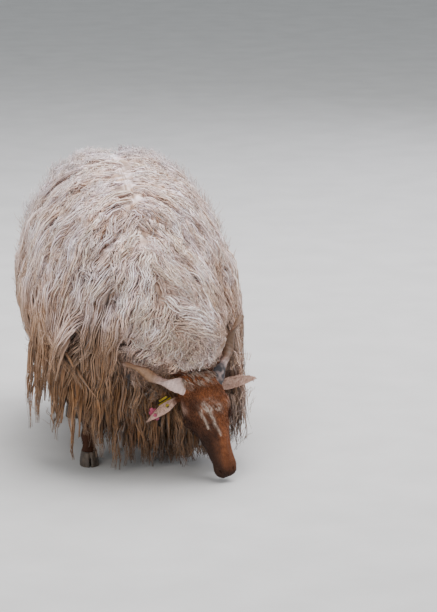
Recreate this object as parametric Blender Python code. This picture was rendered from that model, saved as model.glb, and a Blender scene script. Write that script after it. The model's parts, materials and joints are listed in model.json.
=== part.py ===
"""A life-size still model of a racka ewe that stands and grazes, her head turned a little to her left.

Metres, +Z up, and she faces -Y, so +X is her left side. The floor is z = 0. Every node is one closed
solid: the head, each eye, ear and horn, the neck and the torso with their hanging locks, the tail,
each leg and hoof, and two ear tags. The root empty stands the model with the middle of its box over the origin.
"""

import math
import random
from typing import NamedTuple

import bmesh
import bpy
import numpy as np
from mathutils import Matrix, Vector
from mathutils.bvhtree import BVHTree

# The fit between neighbours, and how a coat piece stands clear of a bare one
GAP = 0.0003
CLEAR = 0.0006

# The coat: its depth over the skin on the back and on the flanks, and how far its core reaches
COAT_ON_BACK = 0.045
COAT_ON_FLANK = 0.100
CORE_SHARE = 0.45
RING_SIDES = 24

# The plane across the shoulder, at right angles to Y, where the neck ends and the torso begins
SHOULDER_Y = -0.150

# The legs, from the floor up
LEG_TOP = 0.365
HOOF_HEIGHT = 0.034
HOOF_LENGTH = 0.062
HOOF_WIDTH = 0.047
CLEFT_WIDTH = 0.0035
CLEFT_HEIGHT = 0.022
DEWCLAW_HEIGHT = 0.070

# The head, from the poll to the lips, and where the lips come to the grass
HEAD_LENGTH = 0.262
LIPS = Vector((0.192, -0.400, 0.014))
FACE_LEAN = (0.254, -0.358, -0.900)
FACE_FRONT = (0.204, -0.926, 0.100)
HORN_ALONG = 0.036
HORN_ASIDE = 0.034
HORN_WIDTH = 0.037
HORN_FLATNESS = 0.56
HORN_TURNS = 1.10
EYE_ALONG = 0.110
EYE_ASIDE = 0.0475
EYE_FRONT = -0.006
EYE_RADIUS = 0.0125
LID_THICKNESS = 0.0024
EAR_ALONG = 0.046
EAR_ASIDE = 0.040
EAR_FRONT = -0.028
EAR_WALL = 0.0030
EAR_DROOP = 0.008
TAG_PLATE = 0.0016
TAG_PIN = 0.0022
TAG_STAND = 0.0024

TAIL_TOP = Vector((0.0, 0.425, 0.560))
TAIL_TIP = Vector((0.0, 0.492, 0.225))

DOWN = Vector((0.0, 0.0, -1.0))


class Girth(NamedTuple):
    """One cross-section of the torso with its coat: place along Y, half width, and heights."""

    y: float
    half_width: float
    middle: float
    top: float
    belly: float
    hem: float


TORSO = (
    Girth(0.462, 0.095, 0.470, 0.575, 0.380, 0.290),
    Girth(0.440, 0.160, 0.455, 0.632, 0.330, 0.240),
    Girth(0.370, 0.228, 0.435, 0.688, 0.285, 0.195),
    Girth(0.240, 0.266, 0.420, 0.699, 0.265, 0.160),
    Girth(0.100, 0.276, 0.410, 0.690, 0.255, 0.130),
    Girth(-0.050, 0.270, 0.400, 0.672, 0.250, 0.105),
    Girth(-0.160, 0.246, 0.380, 0.634, 0.235, 0.095),
    Girth(-0.235, 0.200, 0.350, 0.560, 0.240, 0.070),
)


class Collar(NamedTuple):
    """One cross-section of the neck with its coat: its middle, half width, half depth and slope in degrees."""

    middle: tuple
    half_width: float
    half_depth: float
    slope: float


NECK = (
    Collar((0.000, -0.090, 0.420), 0.235, 0.215, 8),
    Collar((0.012, -0.175, 0.395), 0.215, 0.205, 26),
    Collar((0.040, -0.240, 0.345), 0.180, 0.175, 42),
    Collar((0.078, -0.272, 0.300), 0.145, 0.125, 54),
    Collar((0.108, -0.280, 0.268), 0.100, 0.080, 60),
    Collar((0.124, -0.285, 0.232), 0.060, 0.048, 62),
)


class Slice(NamedTuple):
    """One cross-section of the head, along the face from the poll: half width, reach in front and behind."""

    along: float
    half_width: float
    front: float
    back: float


HEAD = (
    Slice(-0.012, 0.016, 0.000, 0.030),
    Slice(0.000, 0.033, 0.017, 0.044),
    Slice(0.022, 0.045, 0.029, 0.056),
    Slice(0.050, 0.052, 0.036, 0.068),
    Slice(0.080, 0.056, 0.037, 0.077),
    Slice(0.108, 0.054, 0.035, 0.080),
    Slice(0.136, 0.045, 0.032, 0.075),
    Slice(0.168, 0.035, 0.029, 0.058),
    Slice(0.200, 0.029, 0.025, 0.044),
    Slice(0.226, 0.0275, 0.021, 0.035),
    Slice(0.243, 0.0265, 0.016, 0.029),
    Slice(0.256, 0.021, 0.009, 0.022),
    Slice(0.262, 0.011, 0.001, 0.012),
)

class Leg(NamedTuple):
    """Where a leg stands, and whether it is a hind one."""

    x: float
    y: float
    hind: bool


LEGS = {
    "front_left": Leg(0.108, -0.125, False),
    "front_right": Leg(-0.122, -0.200, False),
    "hind_left": Leg(0.118, 0.315, True),
    "hind_right": Leg(-0.118, 0.265, True),
}


class Shank(NamedTuple):
    """One cross-section of a leg: its height, how far it lies behind the hoof's middle, and its half sizes."""

    height: float
    behind: float
    half_width: float
    half_depth: float


FRONT_LEG = (
    Shank(HOOF_HEIGHT + GAP, 0.006, 0.0190, 0.0225),
    Shank(0.048, 0.010, 0.0150, 0.0165),
    Shank(0.068, 0.017, 0.0190, 0.0215),
    Shank(0.090, 0.018, 0.0145, 0.0170),
    Shank(0.145, 0.018, 0.0135, 0.0160),
    Shank(0.180, 0.016, 0.0195, 0.0205),
    Shank(0.204, 0.015, 0.0215, 0.0230),
    Shank(0.232, 0.016, 0.0190, 0.0215),
    Shank(0.290, 0.014, 0.0270, 0.0330),
    Shank(LEG_TOP, 0.006, 0.0360, 0.0480),
)
HIND_LEG = (
    Shank(HOOF_HEIGHT + GAP, 0.006, 0.0190, 0.0225),
    Shank(0.050, 0.012, 0.0150, 0.0160),
    Shank(0.072, 0.021, 0.0185, 0.0210),
    Shank(0.098, 0.025, 0.0140, 0.0185),
    Shank(0.165, 0.032, 0.0140, 0.0190),
    Shank(0.214, 0.040, 0.0190, 0.0290),
    Shank(0.246, 0.033, 0.0190, 0.0300),
    Shank(0.290, 0.012, 0.0270, 0.0420),
    Shank(LEG_TOP, -0.022, 0.0400, 0.0640),
)


class Horn(NamedTuple):
    """A horn's side, and how far its tip lies above, beside and behind its base, along the head's own axes."""

    side: int
    above: float
    aside: float
    behind: float


HORNS = {
    "horn_left": Horn(1, 0.140, 0.128, 0.020),
    "horn_right": Horn(-1, 0.104, 0.132, 0.020),
}


class Ear(NamedTuple):
    """An ear's side, length and width, and the way that it points along the head's own axes."""

    side: int
    length: float
    width: float
    down: float
    aside: float
    behind: float


EARS = {
    "ear_left": Ear(1, 0.120, 0.034, -0.03, 1.00, 0.06),
    "ear_right": Ear(-1, 0.104, 0.027, 0.25, 0.92, 0.30),
}


class Tag(NamedTuple):
    """A tag on the right ear: its place along the ear, its plate's size, and its button's radius."""

    place: float
    plate_along: float
    plate_across: float
    button: float


TAGS = {
    "tag_yellow": Tag(0.40, 0.034, 0.040, 0.0045),
    "tag_pink": Tag(0.74, 0.020, 0.038, 0.0045),
}


class Bump(NamedTuple):
    """A soft swelling or hollow of the head: its place, its turn from the face's front, height and reach."""

    along: float
    turn: float
    height: float
    reach: float
    spread: float


BUMPS = (
    Bump(0.088, 58, 0.0060, 0.018, 24),
    Bump(0.122, 72, -0.0050, 0.020, 20),
    Bump(0.118, 118, 0.0050, 0.030, 30),
    Bump(0.160, 20, 0.0020, 0.040, 25),
    Bump(0.238, 62, 0.0030, 0.016, 30),
    Bump(0.222, 105, -0.0020, 0.014, 25),
)


class LockShape(NamedTuple):
    """How one kind of lock grows: its length, width, thickness, steps, and its pull towards the middle."""

    length: float
    width: float
    thickness: float
    steps: int
    tuck: float


class Row(NamedTuple):
    """A row of locks: its turn from the crest, where it starts, ends and steps, and each lock's length."""

    turn: float
    start: float
    stop: float
    step: float
    length: float


# Along Y on the torso, and in sections of NECK on the neck
TORSO_ROWS = (
    Row(7, -0.112, 0.430, 0.077, 0.235),
    Row(36, -0.078, 0.430, 0.077, 0.240),
    Row(62, -0.112, 0.440, 0.075, 0.250),
    Row(87, -0.078, 0.440, 0.068, 0.310),
)
NECK_ROWS = (
    Row(12, 0.55, 4.10, 0.75, 0.160),
    Row(45, 0.60, 4.20, 0.70, 0.230),
    Row(78, 0.40, 4.30, 0.62, 0.280),
    Row(112, 0.30, 4.30, 0.62, 0.270),
)
RUMP_TURNS = (0, 30, 58, 90)
LOCK_ROOT = 0.018
LOCK_WIDTH = 0.052
LOCK_THICKNESS = 0.020
LOCK_WAVE = 0.0065
LOCK_TURNS = 1.5

# How near the floor the neck's locks come, from her right to her left
NECK_HEM = ((-0.25, 0.120), (-0.12, 0.100), (-0.08, 0.045), (0.00, 0.022), (0.10, 0.030), (0.26, 0.080))

MATERIALS = {
    "fleece": ((0.62, 0.52, 0.41), 0.95),
    "face": ((0.30, 0.13, 0.06), 0.85),
    "leg": ((0.22, 0.09, 0.05), 0.85),
    "horn": ((0.55, 0.40, 0.28), 0.55),
    "hoof": ((0.07, 0.055, 0.045), 0.50),
    "ear": ((0.52, 0.34, 0.27), 0.85),
    "eye": ((0.25, 0.13, 0.03), 0.15),
    "yellow_tag": ((0.80, 0.62, 0.05), 0.45),
    "pink_tag": ((0.75, 0.25, 0.32), 0.45),
}


def smooth(share):
    """Eases a share from 0 to 1."""
    share = min(max(share, 0.0), 1.0)
    return share * share * (3 - 2 * share)


def between(table, key, place):
    """Reads every column of a table of sections at one place along it."""
    rows = sorted(table, key=lambda row: row[key])
    marks = [row[key] for row in rows]
    columns = range(len(rows[0]))
    return [float(np.interp(place, marks, [row[i] for row in rows])) for i in columns]


def material(name):
    """The named finish, made once."""
    found = bpy.data.materials.get(name)
    if found:
        return found
    colour, roughness = MATERIALS[name]
    made = bpy.data.materials.new(name)
    made.use_nodes = True
    shader = made.node_tree.nodes["Principled BSDF"]
    shader.inputs["Base Color"].default_value = (*colour, 1.0)
    shader.inputs["Roughness"].default_value = roughness
    shader.inputs["Metallic"].default_value = 0.0
    return made


def add_object(name, bm, collection, finish=None):
    """Turns a bmesh into a named object with its faces in triangles that point out."""
    bmesh.ops.remove_doubles(bm, verts=bm.verts, dist=1e-6)
    bmesh.ops.triangulate(bm, faces=bm.faces)
    bmesh.ops.recalc_face_normals(bm, faces=bm.faces)
    mesh = bpy.data.meshes.new(name)
    bm.to_mesh(mesh)
    bm.free()
    if finish:
        mesh.materials.append(material(finish))
    made = bpy.data.objects.new(name, mesh)
    collection.objects.link(made)
    return made


def loft_into(bm, rings):
    """Skins a closed tube through rings of equal count, and closes both ends."""
    rows = [[bm.verts.new(point) for point in ring] for ring in rings]
    count = len(rows[0])
    for lower, upper in zip(rows, rows[1:]):
        for i in range(count):
            j = (i + 1) % count
            bm.faces.new((lower[i], lower[j], upper[j], upper[i]))
    bm.faces.new(rows[0])
    bm.faces.new(rows[-1])


def loft(name, rings, collection, finish=None):
    """One object skinned through rings."""
    bm = bmesh.new()
    loft_into(bm, rings)
    return add_object(name, bm, collection, finish)


def ball(name, centre, radii, turn, collection, segments=12, rings=7):
    """An ellipsoid with its own axes, as a cutter or a rounded form."""
    bm = bmesh.new()
    bmesh.ops.create_uvsphere(bm, u_segments=segments, v_segments=rings, radius=1.0)
    stretch = Matrix.Diagonal((*radii, 1.0))
    bm.transform(Matrix.Translation(centre) @ turn.to_4x4() @ stretch)
    return add_object(name, bm, collection)


def block(name, low, high, collection):
    """A plain box between two corners, as a cutter."""
    low, high = Vector(low), Vector(high)
    bm = bmesh.new()
    bmesh.ops.create_cube(bm, size=1.0)
    bm.transform(Matrix.Translation((low + high) / 2) @ Matrix.Diagonal((*(high - low), 1.0)))
    return add_object(name, bm, collection)


def apply_modifiers(target):
    """Bakes an object's modifiers into its mesh."""
    bpy.context.view_layer.update()
    evaluated = target.evaluated_get(bpy.context.evaluated_depsgraph_get())
    baked = bpy.data.meshes.new_from_object(evaluated)
    target.modifiers.clear()
    target.data = baked
    return target


def tool_collection(target, pieces, operation):
    """Sets up one Boolean of closed pieces on the target, and returns the collection that holds them."""
    tools = bpy.data.collections.new(target.name + "_tools")
    bpy.context.scene.collection.children.link(tools)
    for piece in pieces:
        for owner in list(piece.users_collection):
            owner.objects.unlink(piece)
        tools.objects.link(piece)
    boolean = target.modifiers.new(operation.lower(), "BOOLEAN")
    boolean.operation = operation
    boolean.operand_type = "COLLECTION"
    boolean.collection = tools
    boolean.solver = "MANIFOLD"
    return tools


def shaped(target, added=(), cut=()):
    """Joins closed pieces to the target, then cuts others from it, and removes all of them."""
    collections = []
    if added:
        collections.append(tool_collection(target, added, "UNION"))
    if cut:
        collections.append(tool_collection(target, cut, "DIFFERENCE"))
    apply_modifiers(target)
    for tools in collections:
        for piece in list(tools.objects):
            bpy.data.objects.remove(piece)
        bpy.data.collections.remove(tools)
    return keep_largest(target)


def keep_largest(target):
    """Keeps the largest closed surface of a mesh, which drops loose scraps and sealed hollows."""
    bm = bmesh.new()
    bm.from_mesh(target.data)
    left, shells = set(bm.faces), []
    while left:
        front, shell = [left.pop()], []
        while front:
            face = front.pop()
            shell.append(face)
            for edge in face.edges:
                for other in edge.link_faces:
                    if other in left:
                        left.remove(other)
                        front.append(other)
        shells.append(shell)
    shells.sort(key=len, reverse=True)
    loose = [face for shell in shells[1:] for face in shell]
    bmesh.ops.delete(bm, geom=loose, context="FACES")
    bmesh.ops.triangulate(bm, faces=bm.faces)
    bm.to_mesh(target.data)
    bm.free()
    return target


def torso_ring(place, inset_back, inset_flank, count=RING_SIDES):
    """A ring round the torso at a place along Y, drawn in from the coat's outline."""
    _, half_width, middle, top, belly, _ = between(TORSO, 0, place)
    wide = max(half_width - inset_flank, 0.02)
    ring = []
    for i in range(count):
        turn = 2 * math.pi * i / count
        rise = top - inset_back - middle if math.cos(turn) > 0 else middle - belly
        x = wide * math.copysign(abs(math.sin(turn)) ** 0.90, math.sin(turn))
        ring.append(Vector((x, place, middle + rise * math.cos(turn))))
    return ring


def neck_ring(place, inset, count=RING_SIDES):
    """A ring round the neck, at a place counted in sections from the withers."""
    low = min(int(place), len(NECK) - 2)
    share = place - low
    a, b = NECK[low], NECK[low + 1]
    middle = Vector(a.middle).lerp(Vector(b.middle), share)
    wide = a.half_width + (b.half_width - a.half_width) * share - inset
    deep = a.half_depth + (b.half_depth - a.half_depth) * share - inset * 0.7
    slope = math.radians(a.slope + (b.slope - a.slope) * share)
    crest = Vector((0.0, -math.sin(slope), math.cos(slope)))
    ring = []
    for i in range(count):
        turn = 2 * math.pi * i / count
        ring.append(middle + Vector((wide * math.sin(turn), 0, 0)) + crest * (deep * math.cos(turn)))
    return ring


def torso_core(collection):
    """The torso under its locks: flesh, and less than half of the coat's depth."""
    back = COAT_ON_BACK * (1 - CORE_SHARE)
    flank = COAT_ON_FLANK * (1 - CORE_SHARE)
    places = np.linspace(TORSO[0].y - 0.012, TORSO[-1].y + 0.010, 17)
    rings = [torso_ring(place, back, flank) for place in places]
    return loft("torso", rings, collection, "fleece")


def neck_core(collection, name="neck"):
    """The neck under its locks."""
    inset = COAT_ON_FLANK * (1 - CORE_SHARE)
    inset_at = [inset * (1 - 0.75 * smooth(i / 10)) for i in range(11)]
    rings = [neck_ring(i / 10 * (len(NECK) - 1), inset_at[i]) for i in range(11)]
    return loft(name, rings, collection, "fleece")


def head_axes():
    """The head's own axes: down the face, out of the forehead, and to the animal's left."""
    down = Vector(FACE_LEAN).normalized()
    front = Vector(FACE_FRONT)
    front = (front - down * front.dot(down)).normalized()
    return down, front, front.cross(down)


def head_point(along, aside, front):
    """A point of the head from its own sizes: along the face from the poll, to the left, and to the front."""
    down, out, left = head_axes()
    return LIPS + down * (along - HEAD_LENGTH) + left * aside + out * front


def head_turn():
    """The rotation from the head's own left, front and down to the model's axes."""
    down, out, left = head_axes()
    return Matrix((left, out, down)).transposed()


def head_ring(along, grow=0.0, count=18):
    """A ring round the head, with its swellings and hollows, drawn out by grow."""
    _, half_width, front, back = between(HEAD, 0, along)
    ring = []
    for i in range(count):
        turn = 2 * math.pi * i / count
        across, ahead = math.sin(turn), math.cos(turn)
        power = 0.85 if ahead > 0 else 1.10
        aside = half_width * math.copysign(abs(across) ** power, across)
        aside *= 1 - 0.30 * max(-ahead, 0.0) ** 1.2
        depth = (front if ahead > 0 else back) * ahead
        swell = grow
        degrees = abs(math.degrees(math.atan2(across, ahead)))
        for bump in BUMPS:
            near = ((along - bump.along) / bump.reach) ** 2 + ((degrees - bump.turn) / bump.spread) ** 2
            swell += bump.height * math.exp(-near)
        size = max(math.hypot(aside, depth), 1e-6)
        ring.append(head_point(along, aside * (1 + swell / size), depth * (1 + swell / size)))
    return ring


def head_form(name, grow, collection, finish=None):
    """The head's closed form without its openings, drawn out by grow."""
    places = sorted({s.along for s in HEAD} | {0.035, 0.065, 0.094, 0.122, 0.152, 0.184, 0.213, 0.235, 0.250})
    first, last = places[0], places[-1]
    rings = []
    for place in places:
        ring = head_ring(place, grow)
        shift = grow if place == last else -grow if place == first else 0.0
        rings.append([point + head_axes()[0] * shift for point in ring])
    return loft(name, rings, collection, finish)


def eye_centre(side):
    """The middle of an eyeball."""
    return head_point(EYE_ALONG, side * EYE_ASIDE, EYE_FRONT)


def mouth_cutter(collection):
    """The line of the mouth: a thin slab that rises from the corners of the lips to the front."""
    line = ((0.212, -0.0150), (0.228, -0.0105), (0.245, -0.0065), (0.275, -0.0040))
    half_thick, half_width = 0.0006, 0.040
    rings = []
    for along, front in line:
        corners = ((-1, -1), (1, -1), (1, 1), (-1, 1))
        rings.append([head_point(along, a * half_width, front + b * half_thick) for a, b in corners])
    return loft("mouth", rings, collection)


def head(collection):
    """The head with lids, eye sockets, nostrils and the line of the mouth."""
    made = head_form("head", 0.0, collection, "face")
    turn = head_turn()
    lids, cuts = [], [mouth_cutter(collection)]
    for side in (1, -1):
        centre = eye_centre(side)
        lid = EYE_RADIUS + LID_THICKNESS
        lids.append(ball("lid", centre, (lid, lid, lid), turn, collection))
        cuts.append(ball("socket", centre, (EYE_RADIUS + GAP,) * 3, turn, collection))
        slant = turn @ Matrix.Rotation(math.radians(18), 3, "X")
        gaze = centre + head_axes()[2] * side * (lid + 0.001)
        cuts.append(ball("fissure", gaze, (0.0100, 0.0068, 0.0112), slant, collection))
        flare = turn @ Matrix.Rotation(math.radians(-35 * side), 3, "Z")
        nostril = head_point(0.2475, side * 0.0165, 0.0115)
        cuts.append(ball("nostril", nostril, (0.0028, 0.0068, 0.0052), flare, collection, 8, 6))
    return shaped(made, lids, cuts)


def head_rooms(grow, collection):
    """The head's form and its lids, drawn out by grow, to cut the coat clear of the face."""
    lid = EYE_RADIUS + LID_THICKNESS + grow
    rooms = [ball("lid_room", eye_centre(side), (lid,) * 3, head_turn(), collection) for side in (1, -1)]
    return [head_form("head_room", grow, collection), *rooms]


def eyes(collection):
    """Both eyeballs, in their own nodes."""
    made = []
    for name, side in (("eye_left", 1), ("eye_right", -1)):
        eye = ball(name, eye_centre(side), (EYE_RADIUS,) * 3, head_turn(), collection)
        eye.data.materials.append(material("eye"))
        eye.data.shade_smooth()
        made.append(eye)
    return made


def horn_axis(horn):
    """The middle of a horn's base, and the way from there to its tip."""
    down, out, left = head_axes()
    base = head_point(HORN_ALONG, horn.side * HORN_ASIDE, 0.010)
    return base, left * horn.side * horn.aside - down * horn.above - out * horn.behind


def horn_form(name, horn, grow, collection, finish=None):
    """A horn as a flat, keeled bar that turns about its own straight axis and tapers to a blunt tip."""
    base, way = horn_axis(horn)
    out = head_axes()[1]
    axis = way.normalized()
    flat = (out - axis * out.dot(axis)).normalized()
    wide = axis.cross(flat)
    rings = []
    steps, sides = 16, 8
    for step in range(-2, steps + 1):
        share = step / steps
        spin = horn.side * 2 * math.pi * HORN_TURNS * max(share - 0.10, 0.0)
        size = HORN_WIDTH / 2 * (1 - 0.58 * max(share, 0.0) ** 1.25)
        if share > 0.9:
            size *= 1 - 0.45 * smooth((share - 0.9) / 0.1)
        middle = base + way * share
        middle += (wide * math.sin(spin) + flat * math.cos(spin)) * 0.0045 * smooth(share * 4)
        ring = []
        for i in range(sides):
            turn = 2 * math.pi * i / sides
            keel = 1.18 if math.cos(turn) > 0.9 else 1.0
            across = (size * keel + grow) * math.cos(turn)
            thick = (size * HORN_FLATNESS + grow) * math.copysign(abs(math.sin(turn)) ** 1.15, math.sin(turn))
            arm = wide * math.cos(spin) - flat * math.sin(spin)
            face = wide * math.sin(spin) + flat * math.cos(spin)
            ring.append(middle + arm * across + face * thick)
        rings.append(ring)
    return loft(name, rings, collection, finish)


def ear_frame(ear):
    """An ear's root, and its axes: to the tip, out of the cup, and across the cup."""
    down, out, left = head_axes()
    root = head_point(EAR_ALONG, ear.side * EAR_ASIDE, EAR_FRONT)
    tipward = (left * ear.side * ear.aside + down * ear.down - out * ear.behind).normalized()
    opening = out * 0.85 + down * 0.50
    opening = (opening - tipward * opening.dot(tipward)).normalized()
    return root, tipward, opening, tipward.cross(opening)


def ear_section(ear, share):
    """An ear's half width, cup depth and wall at a share of its length."""
    grown = 0.46 + 0.54 * smooth(share / 0.42)
    tip = 1 - max((share - 0.42) / 0.60, 0.0) ** 1.9
    half_width = ear.width / 2 * grown * tip
    cup = 0.0105 * (1 - 0.72 * smooth(share)) * min(tip + 0.25, 1.0)
    wall = EAR_WALL * (1 - 0.45 * smooth(share))
    return half_width, cup, wall


def ear_form(name, ear, grow, collection, finish=None):
    """An ear as a leaf folded into a cup, with a wall of real thickness."""
    root, tipward, opening, across = ear_frame(ear)
    rings = []
    places = (-0.14, 0.0, 0.12, 0.25, 0.40, 0.55, 0.69, 0.81, 0.91, 0.975)
    for share in places:
        half_width, cup, wall = ear_section(ear, max(share, 0.0))
        middle = root + tipward * (ear.length * share) + DOWN * (EAR_DROOP * max(share, 0.0) ** 2)
        middle += tipward * (grow * 2 * ((share == places[-1]) - (share == places[0])))
        ring = []
        for u in (-0.90, -0.60, -0.30, 0.0, 0.30, 0.60, 0.90):
            bulge = -cup * (1 - u * u) - wall / 2 - grow
            ring.append(middle + across * (half_width + grow) * u + opening * bulge)
        ring.append(middle + across * (half_width + grow) + opening * (0.6 * grow))
        for u in (0.90, 0.45, 0.0, -0.45, -0.90):
            hollow = -cup * (1 - u * u) + wall / 2 + grow
            ring.append(middle + across * (half_width - grow) * u + opening * hollow)
        ring.append(middle - across * (half_width + grow) + opening * (0.6 * grow))
        rings.append(ring)
    return loft(name, rings, collection, finish)


def tag_frame(tag):
    """Where a tag sits on the right ear, its axes, and how far its plate and its button lie from the ear."""
    ear = EARS["ear_right"]
    root, tipward, opening, across = ear_frame(ear)
    _, cup, wall = ear_section(ear, tag.place)
    seat = root + tipward * (ear.length * tag.place) + DOWN * (EAR_DROOP * tag.place ** 2) - opening * cup
    turn = Matrix((tipward, across, opening)).transposed().to_4x4()
    return seat, opening, turn, -wall / 2 - TAG_STAND - TAG_PLATE / 2, wall / 2 + 0.0022


def tag_stud(tag, radius, low, high, grow, collection):
    """A short round bar at right angles to the ear, such as a tag's pin or button."""
    seat, opening, turn, _, _ = tag_frame(tag)
    bm = bmesh.new()
    bmesh.ops.create_cone(
        bm, cap_ends=True, segments=8, radius1=radius + grow, radius2=radius + grow, depth=high - low + 2 * grow
    )
    bm.transform(Matrix.Translation(seat + opening * ((low + high) / 2)) @ turn)
    return add_object("stud", bm, collection)


def pin_room(tag, grow, collection):
    """The hole through the ear for a tag's pin."""
    _, _, _, back, face = tag_frame(tag)
    return tag_stud(tag, TAG_PIN, back, face, grow, collection)


def tag_form(name, tag, grow, collection, finish=None):
    """One ear tag: a plate behind the ear, a button in the cup, and the pin through the ear."""
    seat, opening, turn, back, face = tag_frame(tag)
    bm = bmesh.new()
    bmesh.ops.create_cube(bm, size=1.0)
    size = (tag.plate_along + 2 * grow, tag.plate_across + 2 * grow, TAG_PLATE + 2 * grow)
    bm.transform(Matrix.Translation(seat + opening * back) @ turn @ Matrix.Diagonal((*size, 1.0)))
    made = add_object(name, bm, collection, finish)
    pin = tag_stud(tag, TAG_PIN, back, face, grow, collection)
    button = tag_stud(tag, tag.button, face - 0.0008, face + 0.0010, grow, collection)
    return shaped(made, [pin, button])


def leg_ring(leg, shank, grow, count=10):
    """A level ring round a leg."""
    ring = []
    for i in range(count):
        turn = 2 * math.pi * i / count
        x = leg.x + (shank.half_width + grow) * math.sin(turn)
        y = leg.y + shank.behind - (shank.half_depth + grow) * math.cos(turn)
        ring.append(Vector((x, y, shank.height)))
    return ring


def leg_form(name, leg, grow, collection, finish=None):
    """A leg from the top of its hoof up into the body, without its dewclaws."""
    shanks = HIND_LEG if leg.hind else FRONT_LEG
    rings = [leg_ring(leg, shank, grow) for shank in shanks]
    rings[-1] = [point + Vector((0, 0, grow)) for point in rings[-1]]
    return loft(name, rings, collection, finish)


def leg(name, place, collection):
    """One leg with the two dewclaws behind its fetlock."""
    made = leg_form(name, place, 0.0, collection, "leg")
    shank = (HIND_LEG if place.hind else FRONT_LEG)[2]
    claws = []
    for side in (1, -1):
        spot = Vector((place.x + side * 0.009, place.y + shank.behind + shank.half_depth, DEWCLAW_HEIGHT - 0.006))
        claws.append(ball("dewclaw", spot, (0.0055, 0.0060, 0.0090), Matrix.Identity(3), collection, 7, 5))
    return shaped(made, claws)


def hoof(name, place, collection):
    """A cloven hoof with a flat sole: two claws that join under the coronet."""
    rings = []
    levels = ((0.0, 1.00, -0.004), (0.012, 0.98, -0.002), (HOOF_HEIGHT, 0.80, 0.005))
    count = 14
    for height, size, behind in levels:
        ring = []
        for i in range(count):
            turn = 2 * math.pi * i / count
            toe = 0.80 if math.cos(turn) > 0.8 else 1.0
            x = place.x + HOOF_WIDTH / 2 * size * toe * math.sin(turn)
            y = place.y + behind - HOOF_LENGTH / 2 * size * math.cos(turn)
            ring.append(Vector((x, y, height)))
        rings.append(ring)
    made = loft(name, rings, collection, "hoof")
    low = (place.x - CLEFT_WIDTH / 2, place.y - HOOF_LENGTH, -0.01)
    high = (place.x + CLEFT_WIDTH / 2, place.y + HOOF_LENGTH, CLEFT_HEIGHT)
    return shaped(made, cut=[block("cleft", low, high, collection)])


def tail_core(name, grow, collection, finish=None):
    """The tail under its locks."""
    way = TAIL_TIP - TAIL_TOP
    rings = []
    for share in (-0.10, 0.0, 0.2, 0.5, 0.8, 1.0):
        thick = 0.030 * (1 - 0.55 * max(share, 0.0)) + grow
        middle = TAIL_TOP + way * share
        ring = []
        for i in range(10):
            turn = 2 * math.pi * i / 10
            ring.append(middle + Vector((1.25 * thick * math.sin(turn), thick * math.cos(turn), 0.0)))
        rings.append(ring)
    return loft(name, rings, collection, finish)


def half_space(name, side, collection):
    """A large block behind the shoulder's plane (side 1) or in front of it, that starts half a gap past it."""
    near, far = SHOULDER_Y - side * GAP / 2, SHOULDER_Y + side * 2.0
    return block(name, (-1, min(near, far), -0.5), (1, max(near, far), 1.5), collection)


def surface_of(*objects):
    """A search tree over the faces of closed objects, for laying locks on them."""
    verts, faces = [], []
    for made in objects:
        offset = len(verts)
        verts += [made.matrix_world @ v.co for v in made.data.vertices]
        faces += [[offset + i for i in p.vertices] for p in made.data.polygons]
    return BVHTree.FromPolygons(verts, faces)


def comb(root, heading, shape, tree, lift, limits, dice):
    """Lets one lock fall from its root: it leaves the skin, lies over the body, then hangs.

    lift is how far it stands off the surface on a flank. limits are the lowest and highest Y it may reach,
    and the height of the hem. Returns the points that its middle follows.
    """
    low_y, high_y, hem = limits
    step = shape.length / shape.steps
    phase = dice.uniform(0, 2 * math.pi)
    point = root.copy()
    _, normal, _, _ = tree.find_nearest(root)
    path = [root - normal * LOCK_ROOT, root + normal * 0.003]
    for i in range(shape.steps):
        share = (i + 1) / shape.steps
        heading = (heading + DOWN * 0.85).normalized()
        before = point.copy()
        point = point + heading * step
        place, normal, _, _ = tree.find_nearest(point)
        stand = lift * (1 - 0.62 * max(normal.z, 0.0)) * (0.35 + 0.65 * smooth(share * 1.6))
        clear = (point - place).dot(normal)
        if clear < stand:
            point += normal * (stand - clear)
        if normal.z < 0.1:
            point.x -= math.copysign(shape.tuck * step, point.x - place.x)
        point.y += math.sin(share * LOCK_TURNS * 2 * math.pi + phase) * LOCK_WAVE
        point.y = min(max(point.y, low_y), high_y)
        heading = (point - before).normalized()
        if point.z < hem:
            drop = (before.z - hem) / max(before.z - point.z, 1e-6)
            path.append(before.lerp(point, min(max(drop, 0.05), 1.0)))
            break
        path.append(point.copy())
    return path


def lock_object(path, shape, tree, collection, grow=0.0):
    """One flat, tapered, closed lock that follows a path, with its flat side to the body and a low ridge."""
    rings = []
    last = len(path) - 1
    _, normal, _, _ = tree.find_nearest(path[1])
    held = (path[2] - path[1]).cross(normal).normalized()
    for i, point in enumerate(path):
        share = i / last
        before, after = path[max(i - 1, 0)], path[min(i + 1, last)]
        along = (after - before).normalized()
        _, normal, _, _ = tree.find_nearest(point)
        aside = along.cross(normal)
        if i < 2 or aside.length < 0.25:
            aside = held
        elif aside.dot(held) < 0:
            aside = -aside
        aside = (aside.normalized() + held).normalized()
        aside = (aside - along * aside.dot(along)).normalized()
        held = aside
        out = aside.cross(along).normalized()
        swell = 0.70 + 0.30 * math.sin(math.pi * min(share * 1.7, 1.0))
        taper = swell * (1 - 0.86 * smooth((share - 0.40) / 0.60))
        wide = shape.width / 2 * taper + 3.5 * grow
        thick = shape.thickness * (0.30 + 0.70 * taper)
        low = -out * (thick * 0.40 + grow)
        ridge = out * (thick * 0.60 + 1.5 * grow)
        end = point + along * (2 * grow if i == last else 0.0)
        rings.append([end + aside * wide + low, end - aside * wide + low, end + ridge])
    return loft("lock", rings, collection)


def lock_shape(length, dice, steps=5, tuck=0.10):
    """A lock near a length, each a little different."""
    size = dice.uniform(0.88, 1.10)
    return LockShape(length * size, LOCK_WIDTH * dice.uniform(0.85, 1.15), LOCK_THICKNESS, steps, tuck)


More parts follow.
